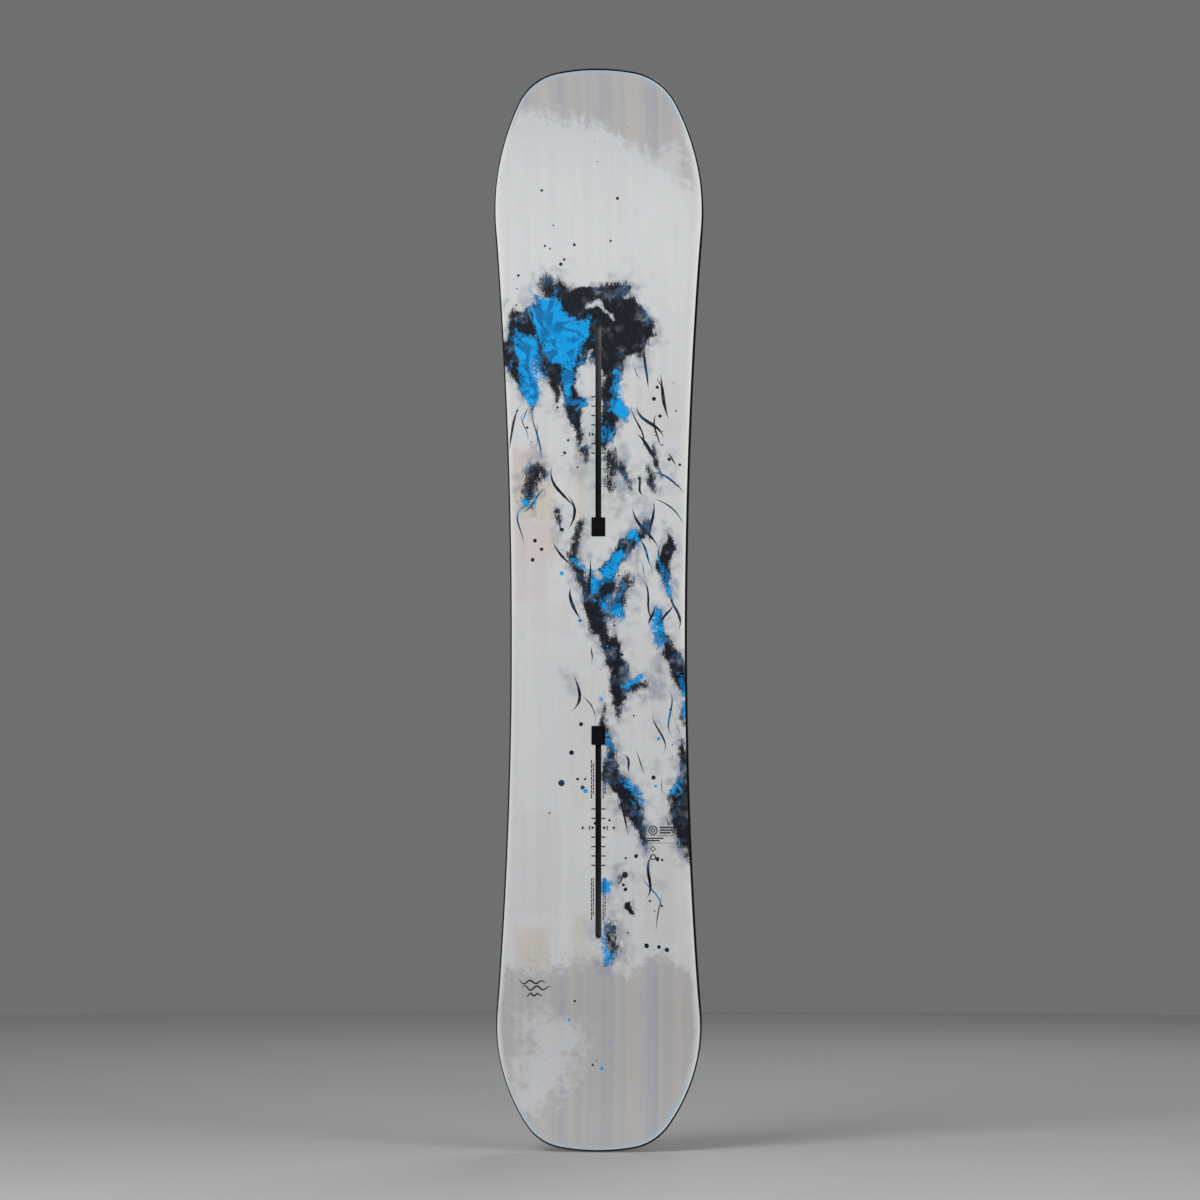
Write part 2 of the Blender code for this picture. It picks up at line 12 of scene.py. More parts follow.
import bmesh
import bpy
import numpy as np
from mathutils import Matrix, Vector


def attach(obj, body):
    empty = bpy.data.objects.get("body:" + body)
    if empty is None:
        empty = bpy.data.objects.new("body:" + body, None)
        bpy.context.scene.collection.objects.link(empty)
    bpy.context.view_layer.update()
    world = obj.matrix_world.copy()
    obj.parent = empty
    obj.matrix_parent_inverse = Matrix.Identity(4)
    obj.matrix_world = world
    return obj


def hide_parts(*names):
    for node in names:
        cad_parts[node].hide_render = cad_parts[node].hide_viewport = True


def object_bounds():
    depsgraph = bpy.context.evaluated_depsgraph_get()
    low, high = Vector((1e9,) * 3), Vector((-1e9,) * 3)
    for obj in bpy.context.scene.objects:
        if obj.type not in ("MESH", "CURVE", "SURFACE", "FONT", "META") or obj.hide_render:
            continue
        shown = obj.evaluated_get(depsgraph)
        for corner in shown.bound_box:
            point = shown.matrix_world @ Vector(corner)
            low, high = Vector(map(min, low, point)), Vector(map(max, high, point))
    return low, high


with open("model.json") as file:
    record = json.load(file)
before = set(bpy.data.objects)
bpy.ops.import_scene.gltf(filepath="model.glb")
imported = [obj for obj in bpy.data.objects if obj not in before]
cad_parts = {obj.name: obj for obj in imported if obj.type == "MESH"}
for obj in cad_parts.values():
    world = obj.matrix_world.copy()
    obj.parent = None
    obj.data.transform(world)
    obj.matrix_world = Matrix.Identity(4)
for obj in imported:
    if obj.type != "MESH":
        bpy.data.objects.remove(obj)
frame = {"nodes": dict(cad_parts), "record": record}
cad_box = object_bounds()

MM = 0.001

# ---- the CAD's plan outline ----
LENGTH = cad_box[1][2] - cad_box[0][2]
NOSE_WIDTH = 283.4 * MM
WAIST_WIDTH = 239.4 * MM
TAIL_WIDTH = 278.8 * MM
WAIST_SETBACK = 40 * MM
NOSE_REACH = 193 * MM
NOSE_TIP_RADIUS = 281 * MM
NOSE_SHOULDER_RADIUS = 78 * MM
NOSE_FLANK_RADIUS = 326 * MM
TAIL_REACH = 171 * MM
TAIL_TIP_RADIUS = 289 * MM
TAIL_SHOULDER_RADIUS = 73.4 * MM
TAIL_FLANK_RADIUS = 239 * MM

# ---- its side profile ----
NOSE_KICK_LENGTH = 245 * MM
NOSE_KICK_ANGLE = math.radians(22)
TAIL_KICK_LENGTH = 190 * MM
TAIL_KICK_ANGLE = math.radians(20)
TIP_FLAT_LENGTH = 38 * MM
OUTER_CAMBER_ANGLE = math.radians(2.2)
INNER_CAMBER_ANGLE = math.radians(2.6)
INNER_CAMBER_RISE = 55 * MM

# ---- its channels, whose places come from the frame ----
MOUNTS = {mount["name"]: mount for mount in frame["record"]["mounts"]}
FRONT_MARK = MOUNTS["front_binding_face"]["pos_m"][2]
REAR_MARK = MOUNTS["rear_binding_face"]["pos_m"][2]
CHANNEL_OUTBOARD = 149 * MM
CHANNEL_INBOARD = 137 * MM
BINDING_ZONE_MARGIN = 16 * MM
SLOT_WIDTH = 7.0 * MM
TOPSHEET_REVEAL = 0.5 * MM
WINDOW_WIDTH = 17.4 * MM
WINDOW_LENGTH = 24.4 * MM
WINDOW_CORNER = 1.2 * MM
RAIL_FLOOR = 0.9 * MM
RAIL_LIP = 1.2 * MM
RAIL_WALL = 2.5 * MM
CAVITY_PAST_SLOT = 6 * MM
PLUG_CLEARANCE = 0.3 * MM
PLUG_LEDGE = 0.6 * MM
PLUG_CAP_HEIGHT = 1.0 * MM
PLUG_BELOW_LIP = 1.4 * MM

# ---- its layers ----
BOND = 0.1 * MM
GLASS_THICKNESS = 0.6 * MM
CORE_THICKNESS = 6.4 * MM
CORE_TIP_THICKNESS = 1.3 * MM
CORE_TAPER_INSET = 8 * MM
TOPSHEET_THICKNESS = 0.5 * MM
EDGE_WIDTH = 2.0 * MM
EDGE_HEIGHT = 1.9 * MM
EDGE_FLANGE = 4.0 * MM
EDGE_FLANGE_THICKNESS = 0.5 * MM
FOIL_THICKNESS = 0.2 * MM
SIDEWALL_LEDGE = 0.45 * MM
SIDEWALL_INSET = 2.8 * MM
TIP_INSET = 1.7 * MM
INSET_BLEND = 60 * MM
SIDEWALL_WIDTH = 9.5 * MM
FILLER_DEPTH = 112 * MM
BASE_THICKNESS = EDGE_HEIGHT - EDGE_FLANGE_THICKNESS - BOND
CORE_LOW = BASE_THICKNESS + GLASS_THICKNESS + 2 * BOND
SIDEWALL_LOW = EDGE_HEIGHT + FOIL_THICKNESS + 2 * BOND

MID = LENGTH / 2
WAIST_Z = MID - WAIST_SETBACK
ZONE_INBOARD = CHANNEL_INBOARD + BINDING_ZONE_MARGIN
ZONE_OUTBOARD = CHANNEL_OUTBOARD + BINDING_ZONE_MARGIN
FRONT_ZONE = (FRONT_MARK - ZONE_INBOARD, FRONT_MARK + ZONE_OUTBOARD)
REAR_ZONE = (REAR_MARK - ZONE_OUTBOARD, REAR_MARK + ZONE_INBOARD)
CORE_TAIL = FILLER_DEPTH
CORE_NOSE = LENGTH - FILLER_DEPTH
CORE_ENDS = (CORE_TAIL - BOND, CORE_TAIL, CORE_NOSE, CORE_NOSE + BOND)

# ---- fineness of the visual pieces ----
STRAIGHT_STEP = 20 * MM
ARC_STEP = math.radians(0.8)
TIP_ARC_STEPS = 16
SHOULDER_ARC_STEPS = 24
PRINT_CELL = 2.5 * MM
PRINT_TAIL = 108 * MM  # the topsheet's rows are straight from here
PRINT_NOSE = LENGTH - 128 * MM
WELD = 0.001 * MM  # points closer than this are one
SHARP_ANGLE = math.radians(30)


# ---------------------------------------- the board's shape, as the CAD has it


class End:
    """One end of the plan outline: tip, shoulder, flank and sidecut arcs, at (x, distance from the tip)."""

    def __init__(self, width, reach, to_waist, tip_radius, shoulder_radius, flank_radius):
        half = width / 2
        flare = half - WAIST_WIDTH / 2
        run = to_waist - reach
        sidecut_radius = (run**2 + flare**2) / (2 * flare) - flank_radius
        tip = Vector((0, tip_radius))
        flank = Vector((half - flank_radius, reach))
        shoulder = self.between(tip, tip_radius - shoulder_radius, flank, flank_radius - shoulder_radius)
        sidecut = Vector((WAIST_WIDTH / 2 + sidecut_radius, to_waist))
        self.arcs = [
            (tip, tip_radius, 1),
            (shoulder, shoulder_radius, 1),
            (flank, flank_radius, 1),
            (sidecut, sidecut_radius, -1),
        ]
        self.joins = [
            (shoulder - tip).normalized(),
            (shoulder - flank).normalized(),
            (sidecut - flank).normalized(),
        ]

    @staticmethod
    def between(a, from_a, b, from_b):
        """The point at these two distances from a and b, on the side away from the board's middle."""
        gap = (b - a).length
        along = (from_a**2 - from_b**2 + gap**2) / (2 * gap)
        across = math.sqrt(from_a**2 - along**2)
        unit = (b - a) / gap
        side = Vector((-unit.y, unit.x))
        return max((a + unit * along + side * sign * across for sign in (1, -1)), key=lambda p: p.x)

    def join(self, index, inset):
        """Where arc index meets the next one, on the outline set in by inset."""
        centre, radius, sense = self.arcs[index]
        return centre + self.joins[index] * (radius - sense * inset)

    def half_width(self, u, inset):
        index = next((i for i in range(3) if u <= self.join(i, inset).y), 3)
        centre, radius, sense = self.arcs[index]
        return centre.x + sense * math.sqrt((radius - sense * inset) ** 2 - (u - centre.y) ** 2)

    def reach_at(self, x, inset):
        """How far from the tip the outline stands at this x: half_width turned round, up to the widest."""
        index = next((i for i in range(2) if x <= self.join(i, inset).x), 2)
        centre, radius, _ = self.arcs[index]
        return centre.y - math.sqrt(max((radius - inset) ** 2 - (x - centre.x) ** 2, 0))

    def rounding(self, inset, u_end):
        """Points from the tip's centre round to u_end, which lies on the shoulder or the flank."""
        tip, tip_radius, _ = self.arcs[0]
        radius = tip_radius - inset
        turn = math.atan2(self.joins[0].x, -self.joins[0].y)
        angles = [turn * i / TIP_ARC_STEPS for i in range(TIP_ARC_STEPS)]
        found = [(radius * math.sin(angle), tip.y - radius * math.cos(angle)) for angle in angles]
        start = self.join(0, inset).y
        for i in range(SHOULDER_ARC_STEPS + 1):
            u = start + (u_end - start) * (i / SHOULDER_ARC_STEPS) ** 1.3
            found.append((self.half_width(u, inset), u))
        return found


TAIL = End(TAIL_WIDTH, TAIL_REACH, WAIST_Z, TAIL_TIP_RADIUS, TAIL_SHOULDER_RADIUS, TAIL_FLANK_RADIUS)
NOSE = End(
    NOSE_WIDTH,
    NOSE_REACH,
    LENGTH - WAIST_Z,
    NOSE_TIP_RADIUS,
    NOSE_SHOULDER_RADIUS,
    NOSE_FLANK_RADIUS,
)


def half_width(z, inset):
    return TAIL.half_width(z, inset) if z < WAIST_Z else NOSE.half_width(LENGTH - z, inset)


def profile_sections():
    """(start, first slope, last slope, end) of each straight or arc of the profile, from tail to nose."""
    ends = [
        (TIP_FLAT_LENGTH, TAIL_KICK_ANGLE, TAIL_KICK_ANGLE),
        (TAIL_KICK_LENGTH, TAIL_KICK_ANGLE, -OUTER_CAMBER_ANGLE),
        (REAR_ZONE[0], -OUTER_CAMBER_ANGLE, 0.0),
        (REAR_ZONE[1], 0.0, 0.0),
        (REAR_ZONE[1] + INNER_CAMBER_RISE, 0.0, -INNER_CAMBER_ANGLE),
        (FRONT_ZONE[0] - INNER_CAMBER_RISE, -INNER_CAMBER_ANGLE, INNER_CAMBER_ANGLE),
        (FRONT_ZONE[0], INNER_CAMBER_ANGLE, 0.0),
        (FRONT_ZONE[1], 0.0, 0.0),
        (LENGTH - NOSE_KICK_LENGTH, 0.0, OUTER_CAMBER_ANGLE),
        (LENGTH - TIP_FLAT_LENGTH, OUTER_CAMBER_ANGLE, -NOSE_KICK_ANGLE),
        (LENGTH, -NOSE_KICK_ANGLE, -NOSE_KICK_ANGLE),
    ]
    starts = [0.0] + [end[0] for end in ends[:-1]]
    return [(start, first, last, end) for start, (end, first, last) in zip(starts, ends)]


def along_section(section, z):
    """(how far y has moved since the section's start, slope) at z."""
    start, first, last, end = section
    if first == last:
        return (z - start) * math.tan(first), first
    radius = (end - start) / (math.sin(last) - math.sin(first))
    slope = math.asin(math.sin(first) + (z - start) / radius)
    return -radius * (math.cos(slope) - math.cos(first)), slope


SECTIONS = profile_sections()
SECTION_Y = [0.0]
for _section in SECTIONS[:-1]:
    SECTION_Y.append(SECTION_Y[-1] + along_section(_section, _section[3])[0])


def profile(z):
    """(y of the base's running surface, its slope dy/dz as an angle) at height z."""
    index = max((i for i, section in enumerate(SECTIONS) if section[0] <= z), default=0)
    moved, slope = along_section(SECTIONS[index], z)
    return SECTION_Y[index] + moved, slope


def place(x, z, height):
    """The point that lies height above the base's running surface, square to it, where it crosses z."""
    y, slope = profile(z)
    return Vector((x, y - height * math.cos(slope), z + height * math.sin(slope)))


def blend(z, low, high):
    """0 at the low end to 1 at the high end, with no kink."""
    t = min(max((z - low) / (high - low), 0.0), 1.0)
    return t * t * (3 - 2 * t)


def core_top(z):
    taper_tail = blend(z, TIP_FLAT_LENGTH, REAR_ZONE[0] - CORE_TAPER_INSET)
    taper_nose = blend(LENGTH - z, TIP_FLAT_LENGTH, LENGTH - FRONT_ZONE[1] - CORE_TAPER_INSET)
    swell = (CORE_THICKNESS - CORE_TIP_THICKNESS) * min(taper_tail, taper_nose)
    return CORE_LOW + CORE_TIP_THICKNESS + swell


def laminate_low(z):
    return core_top(z) + BOND


def glass_top(z):
    return laminate_low(z) + GLASS_THICKNESS


def topsheet_low(z):
    return glass_top(z) + BOND


def topsheet_top(z):
    return topsheet_low(z) + TOPSHEET_THICKNESS


def topsheet_inset(z):
    side = min(
        blend(z, TAIL_REACH - INSET_BLEND, TAIL_REACH + INSET_BLEND),
        blend(LENGTH - z, NOSE_REACH - INSET_BLEND, NOSE_REACH + INSET_BLEND),
    )
    return TIP_INSET + (SIDEWALL_INSET - TIP_INSET) * side


def bevel_inset(z, height):
    """How far in the sidewall's sloping face stands at this height above the base."""
    share = (height - SIDEWALL_LOW) / (topsheet_top(z) - SIDEWALL_LOW)
    return SIDEWALL_LEDGE + (topsheet_inset(z) - SIDEWALL_LEDGE) * share


def level(value):
    """The same value at every z."""
    return lambda z: value


def station_heights():
    """Every z where a layer has a row of points, from one flat tip to the other."""
    found = set(CORE_ENDS)
    for start, first, last, end in SECTIONS[1:-1]:
        steps = max(math.ceil(abs(last - first) / ARC_STEP), math.ceil((end - start) / STRAIGHT_STEP))
        found.update(start + (end - start) * i / steps for i in range(steps + 1))
    spaced = []
    for z in sorted(found):
        if z in CORE_ENDS or not spaced or z - spaced[-1] > MM:
            spaced.append(z)
    return spaced


STATIONS = station_heights()


# ---------------------------------------- making meshes


def shade(mesh):
    """Smooth shading, with edges past SHARP_ANGLE kept sharp."""
    mesh.shade_smooth()
    mesh.set_sharp_from_angle(angle=SHARP_ANGLE)


def finish_object(name, bm, finish):
    """Links bm as a shaded object."""
    bmesh.ops.recalc_face_normals(bm, faces=bm.faces)
    mesh = bpy.data.meshes.new(name)
    bm.to_mesh(mesh)
    bm.free()
    if finish is not None:
        mesh.materials.append(finish)
    obj = bpy.data.objects.new(name, mesh)
    bpy.context.scene.collection.objects.link(obj)
    shade(mesh)
    return obj


def loft(name, finish, sections):
    """A closed solid through a row of cross-sections with the same number of points."""
    bm = bmesh.new()
    rows = [[bm.verts.new(point) for point in section] for section in sections]
    size = len(rows[0])
    for one, two in zip(rows, rows[1:]):
        for i in range(size):
            j = (i + 1) % size
            bm.faces.new((one[i], one[j], two[j], two[i]))
    bm.faces.new(rows[0])
    bm.faces.new(rows[-1][::-1])
    return finish_object(name, bm, finish)


def outline_points(inset, z_from=None, z_to=None):
    """The outline's right half as (x, z), tail to nose. An end given by z_from or z_to is square."""
    low = 0 if z_from is None else z_from
    high = LENGTH if z_to is None else z_to
    rows = [z for z in STATIONS if low <= z <= high]
    points = [(half_width(z, inset(z)), z) for z in rows]
    if z_from is None:
        points = TAIL.rounding(inset(0), rows[0])[:-1] + points
    if z_to is None:
        nose = NOSE.rounding(inset(LENGTH), LENGTH - rows[-1])[:-1]
        points += [(x, LENGTH - u) for x, u in reversed(nose)]
    return points


def band(name, finish, side, corners, z_from=None, z_to=None):
    """A strip along one side of the board. corners are (inset(z), height(z)) round its cross-section."""
    edges = [outline_points(inset, z_from, z_to) for inset, _ in corners]
    sections = []
    for points in zip(*edges):
        section = []
        for (x, z), (_, height) in zip(points, corners):
            section.append(place(side * max(x, BOND / 2), z, height(z)))
        sections.append(section)
    return loft(name, finish, sections)


def plate(name, finish, heights, inset, z_from=None, z_to=None):
    """A layer over the board's full width. Its side runs through these heights, at inset(z, height)."""
    bm = bmesh.new()
    layers = []
    for height in heights:
        points = outline_points(lambda z: inset(z, height(z)), z_from, z_to)
        right = [bm.verts.new(place(x, z, height(z))) for x, z in points]
        left = [
            vert if x < WELD else bm.verts.new(place(-x, z, height(z)))
            for vert, (x, z) in zip(right, points)
        ]
        layers.append((right, left))
    for right, left in (layers[0], layers[-1]):
        for k in range(len(right) - 1):
            ring = [right[k], right[k + 1], left[k + 1], left[k]]
            bm.faces.new(list(dict.fromkeys(ring)))
    for (low_right, low_left), (high_right, high_left) in zip(layers, layers[1:]):
        for lows, highs in ((low_right, high_right), (low_left, high_left)):
            for k in range(len(lows) - 1):
                bm.faces.new((lows[k], lows[k + 1], highs[k + 1], highs[k]))
        for end, square in ((0, z_from), (-1, z_to)):
            if square is not None:
                bm.faces.new((low_right[end], high_right[end], high_left[end], low_left[end]))
    return finish_object(name, bm, finish)


def rounded_rectangle(width, z_low, z_high, radius, steps=6):
    """Points (x, z) round a rectangle that is centred on x = 0."""
    points = []
    corners = (
        (width / 2 - radius, z_low + radius, -90),
        (width / 2 - radius, z_high - radius, 0),
        (radius - width / 2, z_high - radius, 90),
        (radius - width / 2, z_low + radius, 180),
    )
    for x, z, start in corners:
        for i in range(steps + 1):
            angle = math.radians(start + 90 * i / steps)
            points.append((x + radius * math.cos(angle), z + radius * math.sin(angle)))
    return points


def stack(name, finish, *levels):
    """A block on a flat stretch of the board, through these (outline, height) levels."""
    return loft(name, finish, [[place(x, z, height) for x, z in outline] for outline, height in levels])


def prism(name, finish, outline, *heights):
    """A block with one (x, z) outline at every height."""
    return stack(name, finish, *[(outline, height) for height in heights])


def cut(obj, cutter):
    """Takes the cutter's shape out of obj's mesh for good."""
    modifier = obj.modifiers.new("cut", "BOOLEAN")
    modifier.operation = "DIFFERENCE"
    modifier.solver = "EXACT"
    modifier.object = cutter
    depsgraph = bpy.context.evaluated_depsgraph_get()
    cut_mesh = bpy.data.meshes.new_from_object(obj.evaluated_get(depsgraph), depsgraph=depsgraph)
    bm = bmesh.new()
    bm.from_mesh(cut_mesh)
    bmesh.ops.remove_doubles(bm, verts=bm.verts, dist=WELD)
    bm.to_mesh(cut_mesh)
    bm.free()
    obj.modifiers.clear()
    obj.data = cut_mesh
    shade(cut_mesh)
    bpy.data.objects.remove(cutter)


class Channel:
    """The outlines of one binding channel. Its slot runs outboard from its window."""

    def __init__(self, prefix, mark, outboard):
        self.prefix = prefix
        self.mark = mark
        self.outboard = outboard
        self.window_near = mark - outboard * CHANNEL_INBOARD
        self.window_far = self.window_near + outboard * WINDOW_LENGTH
        self.window_middle = (self.window_near + self.window_far) / 2
        self.slot_end = mark + outboard * CHANNEL_OUTBOARD

    def block(self, width, grow_near, grow_far, radius):
        """A rounded rectangle over the whole channel, longer than it by grow_near and grow_far."""
        near = self.window_near - self.outboard * grow_near
        far = self.slot_end + self.outboard * grow_far
        return rounded_rectangle(width, min(near, far), max(near, far), radius)

    def window(self, grow, corner=WINDOW_CORNER):
        """The window's outline, larger all round by grow."""
        low, high = sorted((self.window_near, self.window_far))
        return rounded_rectangle(WINDOW_WIDTH + 2 * grow, low - grow, high + grow, corner)

    def keyhole(self, grow, steps=24):
        """The window and the slot as one outline, larger all round by grow."""
        half_slot = SLOT_WIDTH / 2 + grow
        near = self.window_near - self.outboard * grow
        far = self.window_far + self.outboard * grow
        half = WINDOW_WIDTH / 2 + grow
        points = [(-half_slot, far), (-half, far), (-half, near)]
        points += [(-x, z) for x, z in reversed(points)]
        round_centre = self.slot_end - self.outboard * SLOT_WIDTH / 2
        for i in range(steps + 1):
            angle = math.pi * i / steps
            reach = self.outboard * half_slot * math.sin(angle)
            points.append((half_slot * math.cos(angle), round_centre + reach))
        return points


CHANNELS = (Channel("front", FRONT_MARK, 1), Channel("rear", REAR_MARK, -1))
SIDES = (("toe", 1), ("heel", -1))


def open_channels(obj, grow, low, high):
    """Cuts both keyholes through a layer that spans these heights."""
    past = 0.3 * MM
    for channel in CHANNELS:
        floor, top = low(channel.mark) - past, high(channel.mark) + past
        cut(obj, prism("keyhole", None, channel.keyhole(grow), floor, top))


def topsheet_mesh(name, finish):
    """The topsheet with a fine grid of points on its printed face.

    Its rows are straight across the board between PRINT_TAIL and PRINT_NOSE. Past them its columns run
    straight on to the rounded outline, so no cell is wasted outside it.
    """
    rows = round((PRINT_NOSE - PRINT_TAIL) / PRINT_CELL)
    columns = 2 * round(NOSE_WIDTH / 2 / PRINT_CELL)
    tip_rows = round(PRINT_TAIL / PRINT_CELL)
    shares = np.linspace(-1, 1, columns + 1)

    def tip_lines(z_start, end, tip, sign):
        """Rows from the tip in to z_start."""
        inset = topsheet_inset(z_start)
        xs = shares * half_width(z_start, inset)
        starts = [tip + sign * end.reach_at(abs(x), inset) for x in xs]
        starts[0] = starts[-1] = z_start
        steps = [k / tip_rows for k in range(tip_rows)]
        return [[(x, z + (z_start - z) * step) for x, z in zip(xs, starts)] for step in steps]

    grid = tip_lines(PRINT_TAIL, TAIL, 0, 1)
    for k in range(rows + 1):
        z = PRINT_TAIL + (PRINT_NOSE - PRINT_TAIL) * k / rows
        grid.append([(share * half_width(z, topsheet_inset(z)), z) for share in shares])
    grid += tip_lines(PRINT_NOSE, NOSE, LENGTH, -1)[::-1]

    bm = bmesh.new()
    places = {}

    def point(x, z, height):
        key = (round(x, 7), round(z, 7), height is topsheet_top)
        if key not in places:
            places[key] = bm.verts.new(place(x, z, height(z)))
        return places[key]

    tops = [[point(x, z, topsheet_top) for x, z in line] for line in grid]
    for line, following in zip(tops, tops[1:]):
        for k in range(columns):
            ring = list(dict.fromkeys((line[k], line[k + 1], following[k + 1], following[k])))
            if len(ring) > 2:
                bm.faces.new(ring)
    middle = columns // 2
    right = grid[0][middle:-1] + [line[-1] for line in grid[tip_rows : tip_rows + rows + 1]]
    right += grid[-1][middle:-1][::-1]
    for (x1, z1), (x2, z2) in zip(right, right[1:]):
        ring = [point(x1, z1, topsheet_low), point(x2, z2, topsheet_low)]
        ring += [point(-x2, z2, topsheet_low), point(-x1, z1, topsheet_low)]
        bm.faces.new(list(dict.fromkeys(ring)))
        for s in (1, -1):
            high = [point(s * x1, z1, topsheet_top), point(s * x2, z2, topsheet_top)]
            low = [point(s * x2, z2, topsheet_low), point(s * x1, z1, topsheet_low)]
            bm.faces.new(high + low)
    return finish_object(name, bm, finish)


# ---------------------------------------- the print's large shapes, in millimetres

RNG = np.random.default_rng(146)

# Each stream is a run of (x, z, radius) beads that a pool or trail of ink follows, x from the centre
# line and z from the tail. spray is how far its edge fades out.
INK = [
    # the bloom round the front slot's end, with splashes thrown outwards
    (5, [(-116, 1076, 20), (-94, 1106, 30), (-62, 1120, 40)]),
    (4, [(-64, 1104, 44), (-26, 1124, 46), (8, 1112, 42)]),
    (5, [(4, 1122, 40), (32, 1118, 34), (48, 1098, 24)]),
    (9, [(-34, 1148, 22), (-54, 1164, 15), (-74, 1170, 7)]),
    (11, [(8, 1148, 20), (22, 1160, 14), (40, 1164, 8)]),
    (7, [(48, 1110, 22), (66, 1106, 13), (78, 1098, 4)]),
    (8, [(-100, 1118, 18), (-114, 1128, 9)]),
    # what runs down from it
    (6, [(-112, 1060, 15), (-100, 1034, 11), (-92, 1014, 4), (-89, 998, 1)]),
    (6, [(-70, 1064, 16), (-62, 1036, 8), (-60, 1012, 2)]),
    (4, [(-40, 1072, 24), (-44, 1040, 15), (-38, 1018, 10), (-18, 1012, 7), (-8, 1016, 3)]),
    (6, [(-36, 1014, 13), (-28, 986, 8), (-23, 958, 3), (-22, 938, 0)]),
    (7, [(14, 1068, 28), (20, 1036, 15), (18, 1012, 10), (30, 994, 8)]),
    (6, [(24, 1004, 13), (16, 978, 12), (10, 960, 8), (16, 944, 1)]),
    # smudges down both sides of the front slot
    (10, [(-14, 946, 7), (-12, 932, 5)]),
    (12, [(18, 944, 6), (22, 926, 10), (16, 910, 5), (10, 892, 7)]),
    (7, [(30, 930, 5), (37, 908, 4), (40, 884, 1)]),
    (5, [(70, 956, 2), (76, 934, 4), (84, 912, 2)]),
    (7, [(64, 928, 4), (68, 906, 6), (75, 888, 3)]),
    (11, [(-84, 916, 10), (-92, 896, 9), (-96, 876, 6)]),
    (7, [(-58, 868, 4), (-57, 852, 3)]),
    # the stem below the front window
    (9, [(-26, 838, 6), (-32, 806, 9), (-24, 778, 8), (-12, 752, 6)]),
    (7, [(62, 846, 5), (56, 828, 7), (34, 810, 11), (14, 782, 14), (2, 756, 15)]),
    (6, [(6, 766, 20), (-2, 736, 17), (-4, 712, 13), (8, 692, 9), (14, 676, 10)]),
    (12, [(40, 770, 9), (28, 744, 13), (16, 726, 10)]),
    (7, [(12, 690, 9), (24, 656, 11), (28, 628, 12), (24, 604, 8), (27, 588, 1)]),
    (9, [(30, 632, 8), (46, 626, 8), (56, 622, 6)]),
    # spindles towards the toe edge
    (6, [(91, 846, 1), (93, 818, 8), (90, 792, 10), (94, 770, 7), (98, 752, 1)]),
    (7, [(85, 724, 6), (92, 694, 6), (104, 660, 13), (114, 630, 12), (118, 596, 6), (119, 578, 1)]),
    (9, [(112, 552, 5), (114, 514, 13), (112, 480, 17), (119, 448, 21), (122, 416, 12), (124, 386, 3)]),
    # the long drip past the rear window
    (6, [(10, 596, 3), (12, 566, 4), (15, 540, 6), (21, 516, 11), (30, 490, 14), (41, 466, 12)]),
    (9, [(38, 472, 15), (56, 450, 12), (66, 432, 7), (71, 412, 1)]),
    (9, [(28, 500, 14), (42, 486, 9)]),
    # the last smudges towards the tail
    (8, [(30, 372, 5), (28, 360, 2)]),
    (3, [(40, 326, 7), (46, 320, 4)]),
    (14, [(14, 300, 9), (16, 280, 8), (17, 264, 6), (18, 252, 1)]),
]
# the blue that runs inside the ink and out of it
BLUE = [
    [(-86, 1158, 5), (-68, 1142, 18), (-62, 1112, 25), (-52, 1084, 21), (-38, 1062, 7)],
    [(-56, 1094, 22), (-30, 1106, 18), (-14, 1118, 8)],
    [(-108, 1100, 9), (-98, 1082, 13), (-96, 1056, 17), (-96, 1036, 13), (-92, 1016, 4)],
    [(-40, 1064, 6), (-44, 1038, 6), (-42, 1020, 4), (-22, 1012, 2), (-8, 1008, 2)],
    [(26, 1040, 5), (31, 1018, 5), (32, 998, 9), (34, 990, 5)],
    [(14, 974, 2), (12, 964, 6), (16, 956, 2)],
    [(-96, 884, 4), (-98, 872, 3)],
    [(-30, 800, 3), (-22, 786, 4), (-4, 780, 3), (0, 764, 4), (18, 788, 12), (22, 800, 6)],
    [(46, 826, 4), (52, 816, 2)],
    [(4, 738, 1), (18, 752, 3), (30, 756, 2)],
    [(24, 738, 9), (30, 726, 6)],
    [(92, 788, 1), (98, 760, 2)],
    [(83, 722, 9), (84, 700, 10), (86, 686, 3)],
    [(110, 640, 3), (120, 610, 7), (122, 594, 4)],
    [(40, 632, 3), (52, 634, 4)],
    [(12, 556, 2), (18, 548, 2)],
    [(40, 500, 3), (52, 482, 6), (58, 470, 2)],
    [(103, 500, 1), (99, 482, 3)],
    [(8, 362, 7), (14, 354, 4)],
    [(8, 286, 2), (9, 266, 3), (14, 254, 3)],
]
# paper left bare inside the ink
BARE = [
    [(-14, 1140, 2), (0, 1137, 5), (22, 1128, 3)],
    [(-24, 1052, 6), (-20, 1036, 7), (-26, 1024, 3)],
    [(-8, 1024, 6), (-6, 990, 6)],
    [(-80, 1036, 7), (-76, 1010, 9)],
    [(52, 1052, 13), (70, 1044, 16)],
    [(-10, 806, 8), (4, 800, 4)],
    [(-4, 778, 4), (4, 772, 3)],
]
